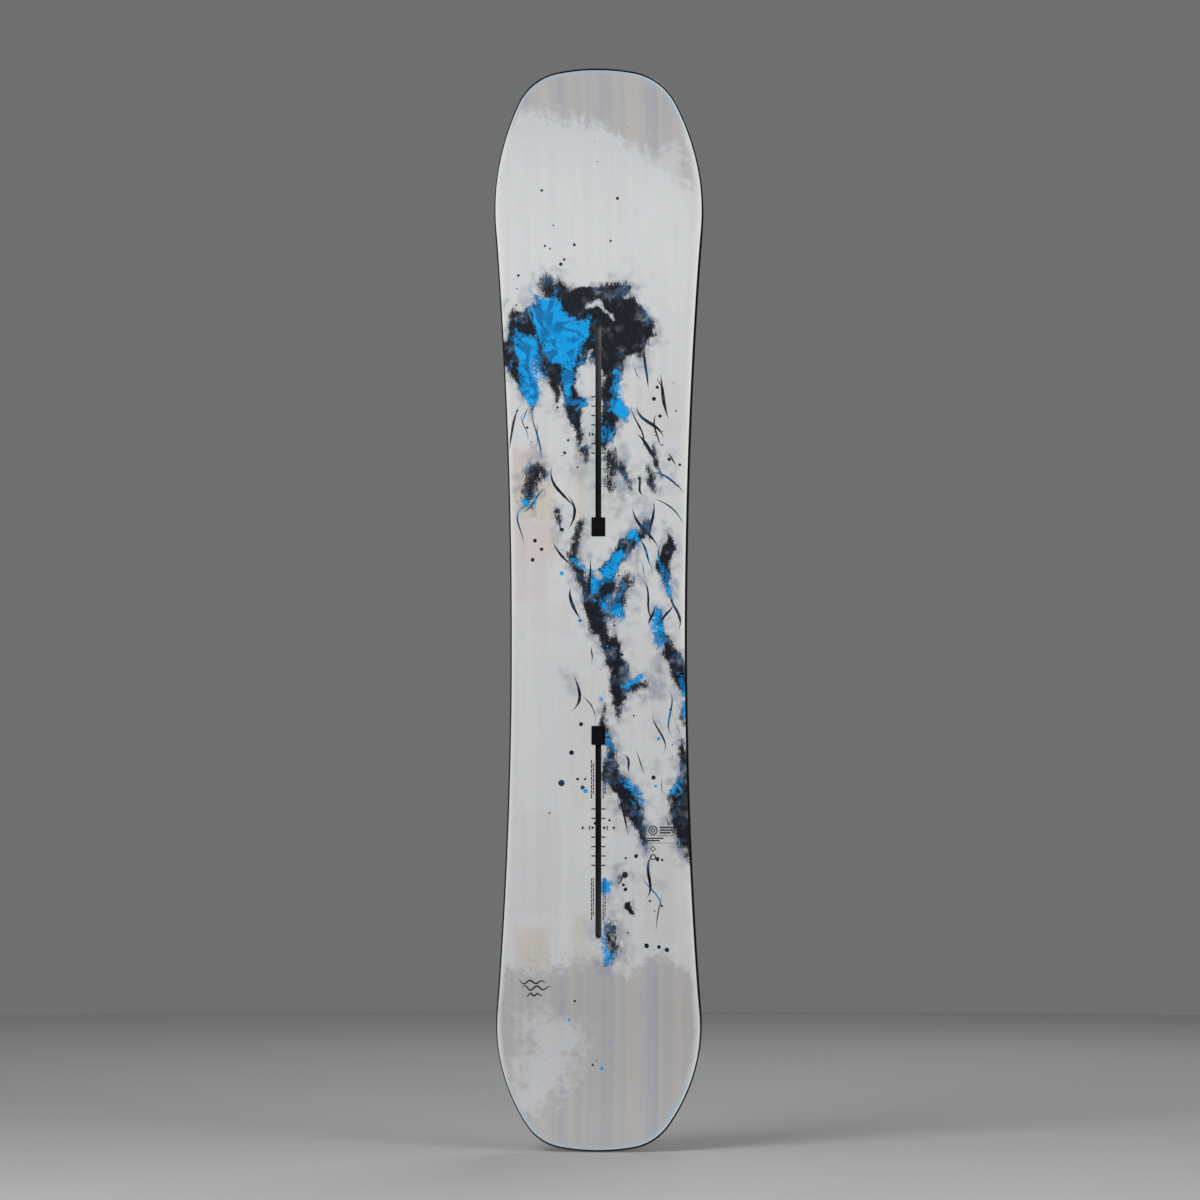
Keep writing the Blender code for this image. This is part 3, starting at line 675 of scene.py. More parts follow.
# thin grey washes: (strength, beads)
WASH = [
    (0.55, [(-104, 1150, 6), (-84, 1162, 10), (-60, 1176, 6)]),
    (0.50, [(60, 1090, 14), (54, 1066, 12)]),
    (0.45, [(-88, 948, 9), (-84, 926, 10)]),
    (0.55, [(30, 934, 12), (26, 900, 14), (26, 864, 9)]),
    (0.35, [(-30, 930, 10), (-26, 910, 8)]),
    (0.45, [(52, 872, 12), (62, 846, 10), (62, 820, 8)]),
    (0.60, [(46, 806, 10), (52, 774, 13), (40, 742, 10)]),
    (0.45, [(-58, 836, 11), (-60, 812, 8)]),
    (0.30, [(20, 700, 14), (34, 672, 12)]),
    (0.62, [(78, 664, 5), (80, 644, 9), (76, 616, 13)]),
    (0.35, [(-42, 640, 12), (-34, 622, 9)]),
    (0.42, [(78, 580, 7), (76, 556, 6)]),
    (0.50, [(98, 480, 12), (100, 440, 17)]),
    (0.32, [(66, 520, 10), (58, 500, 8)]),
    (0.48, [(24, 338, 9), (30, 304, 9)]),
    (0.30, [(96, 936, 12), (102, 900, 10)]),
    (0.25, [(60, 372, 10), (84, 350, 8)]),
]
# soft blocks of tint: (x from, x to, z from, z to, colour, strength)
TINTS = [
    (-118, -72, 900, 950, (0.95, 0.76, 0.66), 0.57),
    (-116, -60, 852, 902, (0.95, 0.84, 0.66), 0.68),
    (-114, -56, 796, 850, (0.95, 0.80, 0.72), 0.61),
    (-112, -70, 742, 796, (0.93, 0.78, 0.76), 0.46),
    (-30, -20, 830, 960, (0.96, 0.84, 0.68), 0.68),
    (-20, 4, 830, 1000, (0.80, 0.90, 0.78), 0.54),
    (8, 34, 840, 950, (0.84, 0.90, 0.80), 0.35),
    (-100, -40, 700, 742, (0.94, 0.88, 0.78), 0.27),
    (10, 34, 430, 560, (0.92, 0.90, 0.84), 0.41),
    (-36, -6, 460, 640, (0.94, 0.90, 0.82), 0.38),
    (-110, -66, 250, 300, (0.93, 0.78, 0.64), 0.54),
    (-34, -12, 250, 320, (0.94, 0.86, 0.68), 0.49),
    (60, 112, 280, 430, (0.94, 0.86, 0.82), 0.35),
    (-106, -52, 320, 460, (0.92, 0.88, 0.86), 0.32),
    (40, 118, 560, 700, (0.92, 0.88, 0.88), 0.27),
    (50, 118, 960, 1040, (0.94, 0.88, 0.84), 0.32),
]
# runs of tapered brush strokes: (count, x range, z range, usual lean in degrees, share that is blue)
STROKE_FIELDS = [
    (12, (50, 104), (930, 1060), -14, 0.1),
    (6, (-114, -74), (930, 1010), 8, 0.35),
    (4, (-72, -24), (850, 940), -14, 0.0),
    (9, (38, 116), (840, 950), -12, 0.15),
    (7, (48, 119), (690, 820), -6, 0.3),
    (6, (-48, -4), (590, 810), -10, 0.2),
    (9, (30, 112), (430, 600), -10, 0.1),
    (5, (58, 116), (290, 400), -8, 0.15),
    (2, (-100, -60), (780, 880), 12, 0.5),
]
# drops of ink: (count, x range, z range, largest radius, share that is blue)
DROP_FIELDS = [
    (9, (-110, 60), (1190, 1330), 2.6, 0.0),
    (3, (-20, 110), (1330, 1400), 1.2, 0.0),
    (6, (-124, -100), (1080, 1190), 2.2, 0.0),
    (9, (-112, -20), (900, 1040), 2.6, 0.15),
    (12, (50, 118), (860, 1040), 3.0, 0.05),
    (10, (-90, 60), (640, 860), 3.2, 0.15),
    (14, (-70, 110), (430, 620), 3.2, 0.15),
    (6, (-52, -16), (480, 570), 5.2, 0.1),
    (4, (24, 46), (335, 425), 5.0, 0.0),
    (10, (10, 110), (270, 400), 3.6, 0.1),
    (6, (-40, 40), (110, 210), 2.6, 0.4),
]
STROKE_REACH = 15.0  # a face farther than this from a stroke ignores it
STROKE_GAP = 7.0  # between strokes of one set
STROKE_SAMPLES = 13
FAR = -60.0
SPRAY = 6.0  # how far ink's edge fades where there is none near
NOSE_BAND = ((-120, -87, -27, 21, 57, 120), (1404, 1399, 1391, 1370, 1345, 1300))  # x, z of its edge
TAIL_BAND = ((-125, -60, 0, 40, 77, 125), (246, 250, 262, 240, 272, 238))
PATCH = [(-88, 170, 26), (-52, 146, 34), (-78, 104, 42), (-96, 66, 26)]  # paler dabs on the bands
FLANK = [(96, 1330, 22), (62, 1290, 16), (58, 1240, 10)]
NOSE_FADE = 160  # how far in from each end the rim's colour turns to the sides' cream
TAIL_FADE = 190


def beads_depth(x, z, beads):
    """How deep each point lies in a run of beads joined by cones, in millimetres. Outside is negative."""
    depth = np.full(len(x), FAR)
    for (ax, az, ar), (bx, bz, br) in zip(beads, beads[1:]):
        dx, dz = bx - ax, bz - az
        t = np.clip(((x - ax) * dx + (z - az) * dz) / max(dx * dx + dz * dz, 1e-9), 0, 1)
        away = np.hypot(x - ax - dx * t, z - az - dz * t)
        depth = np.maximum(depth, ar + (br - ar) * t - away)
    return depth


def smooth_step(value, low, high):
    t = np.clip((value - low) / (high - low), 0, 1)
    return t * t * (3 - 2 * t)


def wander(x, z, scale, seed):
    """Smooth random numbers from -1 to 1 over the sheet, with humps about scale millimetres across."""
    lattice = np.random.default_rng(seed).uniform(-1, 1, (64, 256))
    u, v = x / scale + 32, z / scale + 8
    i, j = np.floor(u).astype(int), np.floor(v).astype(int)
    a, b = smooth_step(u - i, 0, 1), smooth_step(v - j, 0, 1)
    low = lattice[i % 64, j % 256] * (1 - a) + lattice[(i + 1) % 64, j % 256] * a
    high = lattice[i % 64, (j + 1) % 256] * (1 - a) + lattice[(i + 1) % 64, (j + 1) % 256] * a
    return low * (1 - b) + high * b


def make_strokes():
    """Rows of (x, z, lean, half length, half width, bow, sway, blue) for every brush stroke."""
    rows = []
    for count, (x0, x1), (z0, z1), lean, blue_share in STROKE_FIELDS:
        for _ in range(count):
            half = RNG.uniform(11, 36)
            rows.append(
                (
                    RNG.uniform(x0, x1),
                    RNG.uniform(z0, z1),
                    math.radians(lean + RNG.normal(0, 17)),
                    half,
                    RNG.uniform(0.6, 2.3) * (0.6 + half / 50),
                    RNG.normal(0, 0.20) * half,
                    RNG.normal(0, 0.28) * half,
                    float(RNG.random() < blue_share),
                )
            )
    return np.array(rows)


def make_drops():
    """Rows of (x, z, radius, blue) for every drop."""
    rows = []
    for count, (x0, x1), (z0, z1), largest, blue_share in DROP_FIELDS:
        for _ in range(count):
            radius = largest * (0.3 + 0.7 * RNG.random() ** 1.2)
            spot = (RNG.uniform(x0, x1), RNG.uniform(z0, z1))
            rows.append((*spot, radius, float(RNG.random() < blue_share)))
    return np.array(rows)


def stroke_line(stroke):
    """Points (x, z) along a stroke's centre line."""
    x, z, lean, half, _, bow, sway, _ = stroke
    share = np.linspace(-1, 1, STROKE_SAMPLES)
    off = (bow + sway * share) * (1 - share**2)
    along_x, along_z = math.sin(lean), math.cos(lean)
    xs = x + share * half * along_x + off * along_z
    zs = z + share * half * along_z - off * along_x
    return np.stack([xs, zs], axis=1)


def part_strokes(strokes):
    """Two sets of strokes in which no stroke comes near another. One that fits neither set is dropped."""
    sets = ([], [])
    for stroke in strokes:
        line = stroke_line(stroke)
        for chosen in sets:
            gaps = [np.abs(line[:, None] - stroke_line(other)[None]).max(2).min() for other in chosen]
            if not gaps or min(gaps) > STROKE_GAP:
                chosen.append(stroke)
                break
    return [np.array(chosen) for chosen in sets]


def stroke_coordinates(strokes, which, x, z):
    """(share of the half length, millimetres off the centre line) of each corner along its own stroke."""
    cx, cz, lean, half, _, bow, sway, _ = strokes[which].T
    dx, dz = x - cx, z - cz
    along = (dx * np.sin(lean) + dz * np.cos(lean)) / half
    across = dx * np.cos(lean) - dz * np.sin(lean)
    inside = np.clip(along, -1, 1)
    centre = (bow + sway * inside) * (1 - inside**2)
    return along, across - centre


def nearest(centres_x, centres_z, xs, zs, owners):
    """For each face centre, the owner of the nearest of these points, and how far away that is."""
    best = np.full(len(centres_x), np.inf)
    owner = np.zeros(len(centres_x), int)
    for px, pz, who in zip(xs, zs, owners):
        away = (centres_x - px) ** 2 + (centres_z - pz) ** 2
        closer = away < best
        best[closer] = away[closer]
        owner[closer] = who
    return owner, np.sqrt(best)


def store(mesh, name, domain, *columns):
    """A colour attribute from four columns of numbers."""
    attribute = mesh.attributes.new(name, "FLOAT_COLOR", domain)
    attribute.data.foreach_set("color", np.stack(columns, axis=1).astype(np.float32).ravel())


def ink_fields(mesh, flat_x, flat_z):
    """Stores the pools of ink and returns the strength of the washes. All are warped a little."""
    x = flat_x + 6.0 * wander(flat_x, flat_z, 34, 1) + 3.0 * wander(flat_x, flat_z, 12, 2)
    z = flat_z + 9.0 * wander(flat_x, flat_z, 34, 3) + 4.0 * wander(flat_x, flat_z, 12, 4)
    ink = np.full(len(x), FAR)
    spray = np.full(len(x), SPRAY)
    for width, beads in INK:
        depth = beads_depth(x, z, beads)
        deeper = depth > ink
        ink[deeper] = depth[deeper]
        spray[deeper] = width
    blue, bare = (np.max([beads_depth(x, z, beads) for beads in runs], axis=0) for runs in (BLUE, BARE))
    store(mesh, "ink", "POINT", ink, spray, blue, bare)
    wash = np.zeros(len(x))
    for strength, beads in WASH:
        wash = np.maximum(wash, strength * smooth_step(beads_depth(x, z, beads), -8, 6))
    return wash


def ground_fields(mesh, x, z, wash):
    """Stores what the paper shows: washes, bands, rim, tips, soft blocks of tint and paler dabs."""
    bands = np.maximum(z - np.interp(x, *NOSE_BAND), np.interp(x, *TAIL_BAND) - z)
    outline = [(px / MM, pz / MM, 0) for px, pz in outline_points(topsheet_inset)]
    outline = [(-px, pz, r) for px, pz, r in reversed(outline)] + outline
    rim = -beads_depth(x, z, outline) / (1 + 0.4 * smooth_step(x, -60, 110))
    tips = np.maximum((z - LENGTH / MM + NOSE_FADE) / NOSE_FADE, (TAIL_FADE - z) / TAIL_FADE)
    store(mesh, "ground", "POINT", wash, np.clip(bands, FAR, -FAR), rim, np.clip(tips, 0, 1))
    tint = np.ones((len(x), 3))
    for x0, x1, z0, z1, colour, strength in TINTS:
        inside = np.minimum(np.minimum(x - x0, x1 - x), np.minimum(z - z0, z1 - z))
        share = strength * smooth_step(inside, -6, 7)
        tint *= 1 - share[:, None] * (1 - np.array(colour))
    store(mesh, "tint", "POINT", *tint.T, np.maximum(beads_depth(x, z, FLANK), beads_depth(x, z, PATCH)))


def stroke_fields(mesh, x, z):
    """Stores every face's nearest strokes and drop, in their own terms at each of its corners."""
    totals = np.empty(len(mesh.polygons), np.int32)
    mesh.polygons.foreach_get("loop_total", totals)
    corners = np.empty(len(mesh.loops), np.int32)
    mesh.loops.foreach_get("vertex_index", corners)
    face_of = np.repeat(np.arange(len(totals)), totals)
    cx, cz = x[corners], z[corners]
    middle = [np.bincount(face_of, at) / totals for at in (cx, cz)]
    for name, strokes in zip(("stroke_a", "stroke_b"), part_strokes(make_strokes())):
        samples = np.concatenate([stroke_line(stroke) for stroke in strokes])
        owners = np.repeat(np.arange(len(strokes)), STROKE_SAMPLES)
        owner, away = nearest(*middle, *samples.T, owners)
        along, off = stroke_coordinates(strokes, owner[face_of], cx, cz)
        width = np.where(away[face_of] < STROKE_REACH, strokes[owner[face_of], 4], 0)
        store(mesh, name, "CORNER", along, off, width, strokes[owner[face_of], 7])
    drops = make_drops()
    owner, away = nearest(*middle, drops[:, 0], drops[:, 1], range(len(drops)))
    drop_x, drop_z, radius, blue = drops[owner[face_of]].T
    radius = np.where(away[face_of] < STROKE_REACH, radius, 0)
    store(mesh, "drop", "CORNER", cx - drop_x, cz - drop_z, radius, blue)


def print_fields(obj):
    """Stores the print's large shapes on the topsheet, on its points and on the corners of its faces."""
    mesh = obj.data
    co = np.empty(len(mesh.vertices) * 3, np.float32)
    mesh.vertices.foreach_get("co", co)
    co = co.reshape(-1, 3) / MM
    x, z = co[:, 0].astype(float), co[:, 2].astype(float)
    ground_fields(mesh, x, z, ink_fields(mesh, x, z))
    stroke_fields(mesh, x, z)


# ---------------------------------------- materials


class Value:
    """A shader socket that takes part in sums."""

    def __init__(self, shader, socket):
        self.shader = shader
        self.socket = socket

    def __add__(self, other):
        return self.shader.math("ADD", self, other)

    def __sub__(self, other):
        return self.shader.math("SUBTRACT", self, other)

    def __rsub__(self, other):
        return self.shader.math("SUBTRACT", other, self)

    def __mul__(self, other):
        return self.shader.math("MULTIPLY", self, other)

    def __truediv__(self, other):
        return self.shader.math("DIVIDE", self, other)

    def __pow__(self, other):
        return self.shader.math("POWER", self, other)

    def __abs__(self):
        return self.shader.math("ABSOLUTE", self)


class Shader:
    """A new material and short calls for the nodes that feed its Principled shader."""

    def __init__(self, name):
        self.material = bpy.data.materials.new(name)
        self.material.use_nodes = True
        self.tree = self.material.node_tree
        self.principled = self.tree.nodes["Principled BSDF"]

    def feed(self, socket, value):
        """Links a value, or sets a constant."""
        if isinstance(value, Value):
            self.tree.links.new(value.socket, socket)
        elif socket.type == "RGBA":
            socket.default_value = (*value, 1)
        else:
            socket.default_value = value

    def node(self, kind, output, inputs, **settings):
        """One output of a new node whose inputs are fed by name or number."""
        made = self.tree.nodes.new(kind)
        for key, value in settings.items():
            setattr(made, key, value)
        for key, value in inputs.items():
            self.feed(made.inputs[key], value)
        return Value(self, made.outputs[output])

    def math(self, operation, a, b=0.0, clamp=False):
        return self.node("ShaderNodeMath", 0, {0: a, 1: b}, operation=operation, use_clamp=clamp)

    def smooth(self, value, low, high, start=0.0, end=1.0):
        """start below low, end above high, with no kink between."""
        inputs = dict(enumerate((value, low, high, start, end)))
        return self.node("ShaderNodeMapRange", 0, inputs, interpolation_type="SMOOTHSTEP")

    def mix(self, share, a, b, blend_type="MIX"):
        inputs = {0: share, 6: a, 7: b}
        return self.node("ShaderNodeMix", 2, inputs, data_type="RGBA", blend_type=blend_type)

    def attribute(self, name):
        """(the four numbers, the colour of the first three) of an attribute stored by store()."""
        made = self.tree.nodes.new("ShaderNodeAttribute")
        made.attribute_name = name
        split = self.tree.nodes.new("ShaderNodeSeparateColor")
        self.tree.links.new(made.outputs["Color"], split.inputs[0])
        numbers = [Value(self, socket) for socket in (*split.outputs[:3], made.outputs["Alpha"])]
        return numbers, Value(self, made.outputs["Color"])

    def position(self, *stretch):
        """Object coordinates in metres, times stretch along each axis."""
        coordinates = self.node("ShaderNodeTexCoord", "Object", {})
        return self.node("ShaderNodeMapping", 0, {0: coordinates, 3: stretch}) if stretch else coordinates

    def noise(self, size, detail=3.0, rough=0.5, vector=None, distortion=0.0):
        """Fractal noise from about 0 to 1, whose features are about size metres across."""
        inputs = {"Vector": vector or self.position(), "Scale": 1 / size, "Detail": detail}
        inputs |= {"Roughness": rough, "Distortion": distortion}
        return self.node("ShaderNodeTexNoise", "Fac", inputs)

    def cells(self, size):
        """Distance to the nearest cell centre, from 0 there to about 1 at the cell's edge."""
        inputs = {"Vector": self.position(), "Scale": 1 / size}
        return self.node("ShaderNodeTexVoronoi", "Distance", inputs)

    def done(self, colour, roughness, metallic=0.0, specular=0.5, bump=None):
        """Feeds the Principled shader and returns the material. bump is (height, distance, strength)."""
        inputs = {"Base Color": colour, "Roughness": roughness, "Metallic": metallic}
        inputs["Specular IOR Level"] = specular
        if bump:
            relief = dict(zip(("Height", "Distance", "Strength"), bump))
            inputs["Normal"] = self.node("ShaderNodeBump", 0, relief)
        for name, value in inputs.items():
            self.feed(self.principled.inputs[name], value)
        return self.material


# the pale grey of a painted highlight on the rails
PAINTED_HIGHLIGHT_NYLON = (0.17, 0.172, 0.18)


def moulded_plastic(name, colour, lighter, roughness, grain, painted_highlight=()):
    """A matt moulded polymer: fine spark-eroded grain, faint flow marks and lighter scuffs.

    The last argument lists (z from, z to, strength): a painted highlight that turns the surface paler
    towards z to, standing in for light caught at that end.
    """
    s = Shader(name)
    scuffs = s.smooth(s.noise(6 * MM, 5, 0.7, s.position(1, 1, 0.35)), 0.62, 0.78)
    flow = s.noise(25 * MM, 2)
    tone = s.mix(scuffs * 0.6 + flow * 0.25, colour, lighter)
    height = s.node("ShaderNodeSeparateXYZ", "Z", {0: s.position()})
    # painted highlight: paler towards the end of each span, mottled by the flow marks
    for start, end, strength in painted_highlight:
        highlight_share = s.smooth(height, start, end) * s.smooth(flow, 0.1, 0.8, 0.6, 1.0)
        tone = s.mix(highlight_share * strength, tone, PAINTED_HIGHLIGHT_NYLON)
    uneven = s.noise(3 * MM, 4) + scuffs * 0.3
    uneven = s.smooth(uneven, 0.2, 0.9, roughness - 0.07, roughness + 0.12)
    return s.done(tone, uneven, specular=0.14, bump=(s.noise(grain, 2, 0.6), 0.02 * MM, 0.6))


def edge_steel():
    """Ground carbon steel, its colour painted darker than bare steel as painted shade: lengthwise grinding
    lines, with faint brown oxide in patches.
    """
    s = Shader("edge steel")
    lines = s.noise(0.25 * MM, 3, 0.6, s.position(1, 1, 0.02))
    oxide = s.smooth(s.noise(9 * MM, 5, 0.7), 0.58, 0.74)
    # painted shade: the steel is coloured far darker than bare steel, for an edge that sits in shadow
    metal_darkened_as_shade = s.mix(lines, (0.11, 0.113, 0.118), (0.24, 0.244, 0.25))
    colour = s.mix(oxide * 0.35, metal_darkened_as_shade, (0.30, 0.20, 0.13))
    roughness = s.smooth(lines * 0.5 + oxide, 0.0, 1.3, 0.38, 0.62)
    return s.done(colour, roughness, metallic=1.0, bump=(lines, 0.01 * MM, 0.3))


def sintered_base():
    """Graphite-black sintered polyethylene: a stone-ground pattern of fine lines under wax."""
    s = Shader("sintered base")
    across = s.noise(0.55 * MM, 2, 0.5, s.position(1, 1, 0.06))
    grain = s.noise(2.2 * MM, 4, 0.65)
    wax = s.smooth(s.noise(45 * MM, 4, 0.6, s.position(1, 1, 0.22)), 0.36, 0.64)
    scratches = s.smooth(s.noise(5 * MM, 2, 0.5, s.position(1, 1, 0.02)), 0.66, 0.72)
    speck = s.smooth(s.cells(1.6 * MM), 0.10, 0.22, 1, 0)
    colour = s.mix(grain, (0.008, 0.009, 0.010), (0.018, 0.019, 0.021))
    colour = s.mix(wax * 0.7, colour, (0.036, 0.038, 0.042))
    colour = s.mix(scratches * 0.35, colour, (0.075, 0.078, 0.085))
    colour = s.mix(speck * 0.25, colour, (0.07, 0.07, 0.075))
    roughness = s.smooth(across + wax * 0.8, 0.2, 1.5, 0.26, 0.52)
    return s.done(colour, roughness, bump=(across + grain * 0.4, 0.02 * MM, 0.45))


def milled_sidewall():
    """Black ABS, planed along the board: fine lengthwise tool lines and small nicks."""
    s = Shader("milled sidewall")
    lines = s.noise(0.35 * MM, 3, 0.6, s.position(1, 1, 0.015))
    nicks = s.smooth(s.noise(3.5 * MM, 5, 0.75, s.position(1, 1, 0.3)), 0.66, 0.76)
    colour = s.mix(nicks * 0.5 + lines * 0.15, (0.0015, 0.0015, 0.002), (0.010, 0.010, 0.011))
    roughness = s.smooth(lines + nicks, 0.1, 1.4, 0.46, 0.66)
    return s.done(colour, roughness, specular=0.05, bump=(lines, 0.02 * MM, 0.5))


def tinted_laminate():
    """Glass fibre in black-tinted resin: crossed tows that show as slightly paler threads."""
    s = Shader("tinted laminate")
    warp = s.noise(1.2 * MM, 2, 0.5, s.position(1, 1, 0.03))
    weft = s.noise(1.2 * MM, 2, 0.5, s.position(0.03, 1, 1))
    threads = s.math("MAXIMUM", warp, weft)
    colour = s.mix(s.smooth(threads, 0.45, 0.75), (0.006, 0.0065, 0.006), (0.045, 0.047, 0.042))
    roughness = s.smooth(s.noise(4 * MM, 3), 0.3, 0.7, 0.25, 0.42)
    return s.done(colour, roughness, bump=(threads, 0.03 * MM, 0.5))


def core_wood(name, early, late, ring_width):
    """Planed wood: long growth rings, fine pores and slow colour change along the stave."""
    s = Shader(name)
    rings = s.noise(ring_width, 2, 0.5, s.position(1, 1, 0.04), 0.6)
    pores = s.noise(0.5 * MM, 3, 0.7, s.position(1, 1, 0.08))
    colour = s.mix(s.smooth(rings, 0.38, 0.62), early, late)
    colour = s.mix(s.smooth(pores, 0.55, 0.75) * 0.35, colour, tuple(c * 0.5 for c in late))
    colour = s.mix(s.noise(80 * MM, 2) * 0.3, colour, tuple(c * 0.8 for c in early))
    return s.done(colour, s.smooth(pores, 0.3, 0.8, 0.52, 0.72), bump=(pores, 0.04 * MM, 0.5))


def damping_rubber():
    """Thin black rubber foil with a dusty, slightly pebbled surface."""
    s = Shader("damping rubber")
    dust = s.noise(2 * MM, 5, 0.7)
    colour = s.mix(dust, (0.010, 0.010, 0.010), (0.05, 0.05, 0.048))
    pebbles = s.noise(0.4 * MM, 2)
    return s.done(colour, s.smooth(dust, 0.3, 0.7, 0.68, 0.88), bump=(pebbles, 0.03 * MM, 0.6))


def printed_ink():
    """The black of the stance marks: thin screen-printed ink, broken a little by the sheet's texture."""
    s = Shader("printed ink")
    broken = s.noise(0.6 * MM, 4, 0.7)
    colour = s.mix(s.smooth(broken, 0.62, 0.8), (0.005, 0.005, 0.006), (0.03, 0.03, 0.034))
    return s.done(colour, s.smooth(broken, 0.3, 0.7, 0.28, 0.42))


class Printed(Shader):
    """The topsheet's shader, with the fields stored on its mesh and the grains that break them up."""

    def __init__(self):
        super().__init__("printed topsheet")
        (self.ink_depth, self.spray, self.blue_depth, self.bare_depth), _ = self.attribute("ink")
        (self.wash, self.band_depth, self.rim, self.tips), _ = self.attribute("ground")
        (_, _, _, self.patch_depth), self.tint = self.attribute("tint")
        # grains of several sizes, each about zero
        self.large = self.noise(26 * MM, 3, 0.5) - 0.5
        self.middle = self.noise(7 * MM, 5, 0.6) - 0.5
        self.fine = self.noise(1.3 * MM, 4, 0.65) - 0.5
        self.sponge = self.noise(9 * MM, 8, 0.72) - 0.5
        self.feather = self.noise(2.4 * MM, 4, 0.6, self.position(1, 1, 0.22)) - 0.5
        self.soft = self.noise(10 * MM, 2, 0.45) - 0.5


def paper(s):
    """Cool white with lengthwise streaks, soft blocks of tint and a faint mottle."""
    streaks = s.noise(17 * MM, 3, 0.7, s.position(1, 0, 0.05))
    ground = s.mix(s.smooth(streaks, 0.35, 0.65), (0.675, 0.689, 0.712), (0.722, 0.727, 0.731))
    ground = s.mix(s.smooth(s.tips, 0.0, 0.5, 0.0, 0.6), ground, (0.665, 0.695, 0.735))
    ground = s.mix(1.0, ground, s.tint, "MULTIPLY")
    ground = s.mix(s.smooth(s.sponge, -0.05, 0.25, 0.0, 0.25), ground, (0.80, 0.81, 0.825))
    smoke = s.smooth(s.large, -0.06, 0.18) * s.smooth(s.soft + s.fine * 0.3, -0.12, 0.2)
    return s.mix(smoke * s.smooth(s.ink_depth, -55.0, -8.0, 0.02, 0.34), ground, (0.48, 0.47, 0.50))


def bands(s, ground):
    """Grey-blue and tan stripes at nose and tail that end in a sponged edge."""
    stripes = s.noise(34 * MM, 2, 0.7, s.position(1, 0, 0))
    hue = s.noise(30 * MM, 2.4, 0.62, s.position(1, 0, 0))
    stripe = s.mix(s.smooth(hue, 0.40, 0.60), (0.40, 0.413, 0.46), (0.545, 0.497, 0.462))
    stripe = s.mix(s.smooth(stripes, 0.35, 0.65, 0.0, 0.6), stripe, (0.52, 0.515, 0.515))
    edge = s.band_depth + (s.sponge * 105 + s.large * 34)
    ground = s.mix(s.smooth(edge, -12.0, 16.0, 0.0, 0.85), ground, stripe)
    dabs = s.smooth(s.sponge * 150 + (s.large * 60 + s.patch_depth), -16.0, 26.0)
    ground = s.mix(dabs * 0.68, ground, (0.72, 0.74, 0.765))
    near = s.smooth(s.band_depth, -46.0, -4.0) * s.smooth(s.sponge, 0.03, 0.13)
    return s.mix(near * 0.28, ground, (0.50, 0.50, 0.53))


def rim_lines_and_edge_highlight(s, ground):
    """Pale blue round nose and tail, cream along the sides, and a painted highlight: a bright line where
    the sheet ends, standing in for light caught by its edge.
    """
    colour = s.mix(s.smooth(s.tips, 0.3, 0.65), (0.78, 0.79, 0.74), (0.46, 0.575, 0.655))
    share = s.smooth(s.rim + (s.middle * 5 + s.large * 5), 2.0, 7.5, 0.85, 0.0)
    ground = s.mix(share, ground, colour)
    # painted highlight: a bright line along the sheet's edge
    return s.mix(s.smooth(s.rim, 1.0, 2.2, 0.9, 0.0), ground, (0.84, 0.87, 0.88))


def washes(s, ground):
    """Wet bleeds round the ink: slate water that pools and dries with a grain."""
    grain = s.smooth(s.soft + (s.fine * 0.35 + s.large * 0.7), -0.26, 0.26)
    bleed = s.smooth(s.ink_depth + s.soft * 16, s.spray * -2.2, 0.0, 0.0, 0.5)
    slate = s.mix(s.smooth(s.large, -0.12, 0.12), (0.16, 0.17, 0.21), (0.14, 0.22, 0.36))
    return s.mix(s.math("MAXIMUM", s.wash, bleed) * grain, ground, slate)


def black_ink(s):
    """(how far pools of black ink cover, their colour, where no paper is left bare).

    The pools are frayed and stippled within their spray.
    """
    frays = s.middle * 1.6 + (s.feather * 1.5 + s.large * 1.2)
    density = (s.ink_depth + s.spray * frays) / s.spray
    covered = s.smooth(density + s.fine * 2.2, -0.25, 0.45)
    bare_edge = s.bare_depth + (s.middle * 12 + s.large * 8)
    inked = 1.0 - s.smooth(bare_edge + s.fine * 5, -1.5, 2.5)
    thin = s.smooth(s.sponge + s.large, 0.05, 0.34) * s.smooth(density, 3.4, 0.3, 0.16, 0.55)
    covered = s.math("SUBTRACT", covered * inked, thin, True)
    black = s.mix(s.smooth(s.feather, -0.15, 0.28), (0.004, 0.006, 0.011), (0.018, 0.024, 0.040))
    smoky = s.smooth(s.soft + (s.large + s.fine * 0.3), 0.0, 0.32)
    black = s.mix(smoky * 0.6, black, (0.085, 0.092, 0.115))
    edge_blue = s.smooth(density, 2.4, 0.2) * s.smooth(s.large, 0.0, 0.14)
    return covered, s.mix(edge_blue * 0.7, black, (0.012, 0.085, 0.21)), inked


def blue_ink(s, colour, covered, inked):
    """(the sheet's colour, the blue): bright where thick, with black flecks and pale veins."""
    edge = s.blue_depth + (s.middle * 18 + (s.large * 14 + s.feather * 8))
    flecks = s.smooth(s.cells(4.0 * MM) + s.fine * 0.3, 0.24, 0.38)
    fleck_zone = s.smooth(edge + s.large * 50, 10.0, 0.0)
    share = s.smooth(edge + s.fine * 6, -4.0, 2.0) * inked
    share = share * s.math("MAXIMUM", flecks, 1.0 - fleck_zone)
    swirl = s.noise(30 * MM, 2, 0.5, None, 1.6)
    blue = s.mix(s.smooth(swirl, 0.38, 0.56), (0.001, 0.19, 0.49), (0.001, 0.40, 0.93))
    blue = s.mix(s.smooth(s.fine, 0.08, 0.3, 0.0, 0.4), blue, (0.01, 0.52, 1.0))
    colour = s.mix(share * 0.95, colour, blue)
    vein = s.smooth(abs(swirl - 0.5), 0.012, 0.034, 1.0, 0.0)
    vein = vein * covered * s.smooth(s.blue_depth, -16.0, -2.0, 0.0, 0.85)
    return s.mix(vein * s.smooth(s.large, -0.04, 0.08), colour, (0.01, 0.44, 1.0)), blue


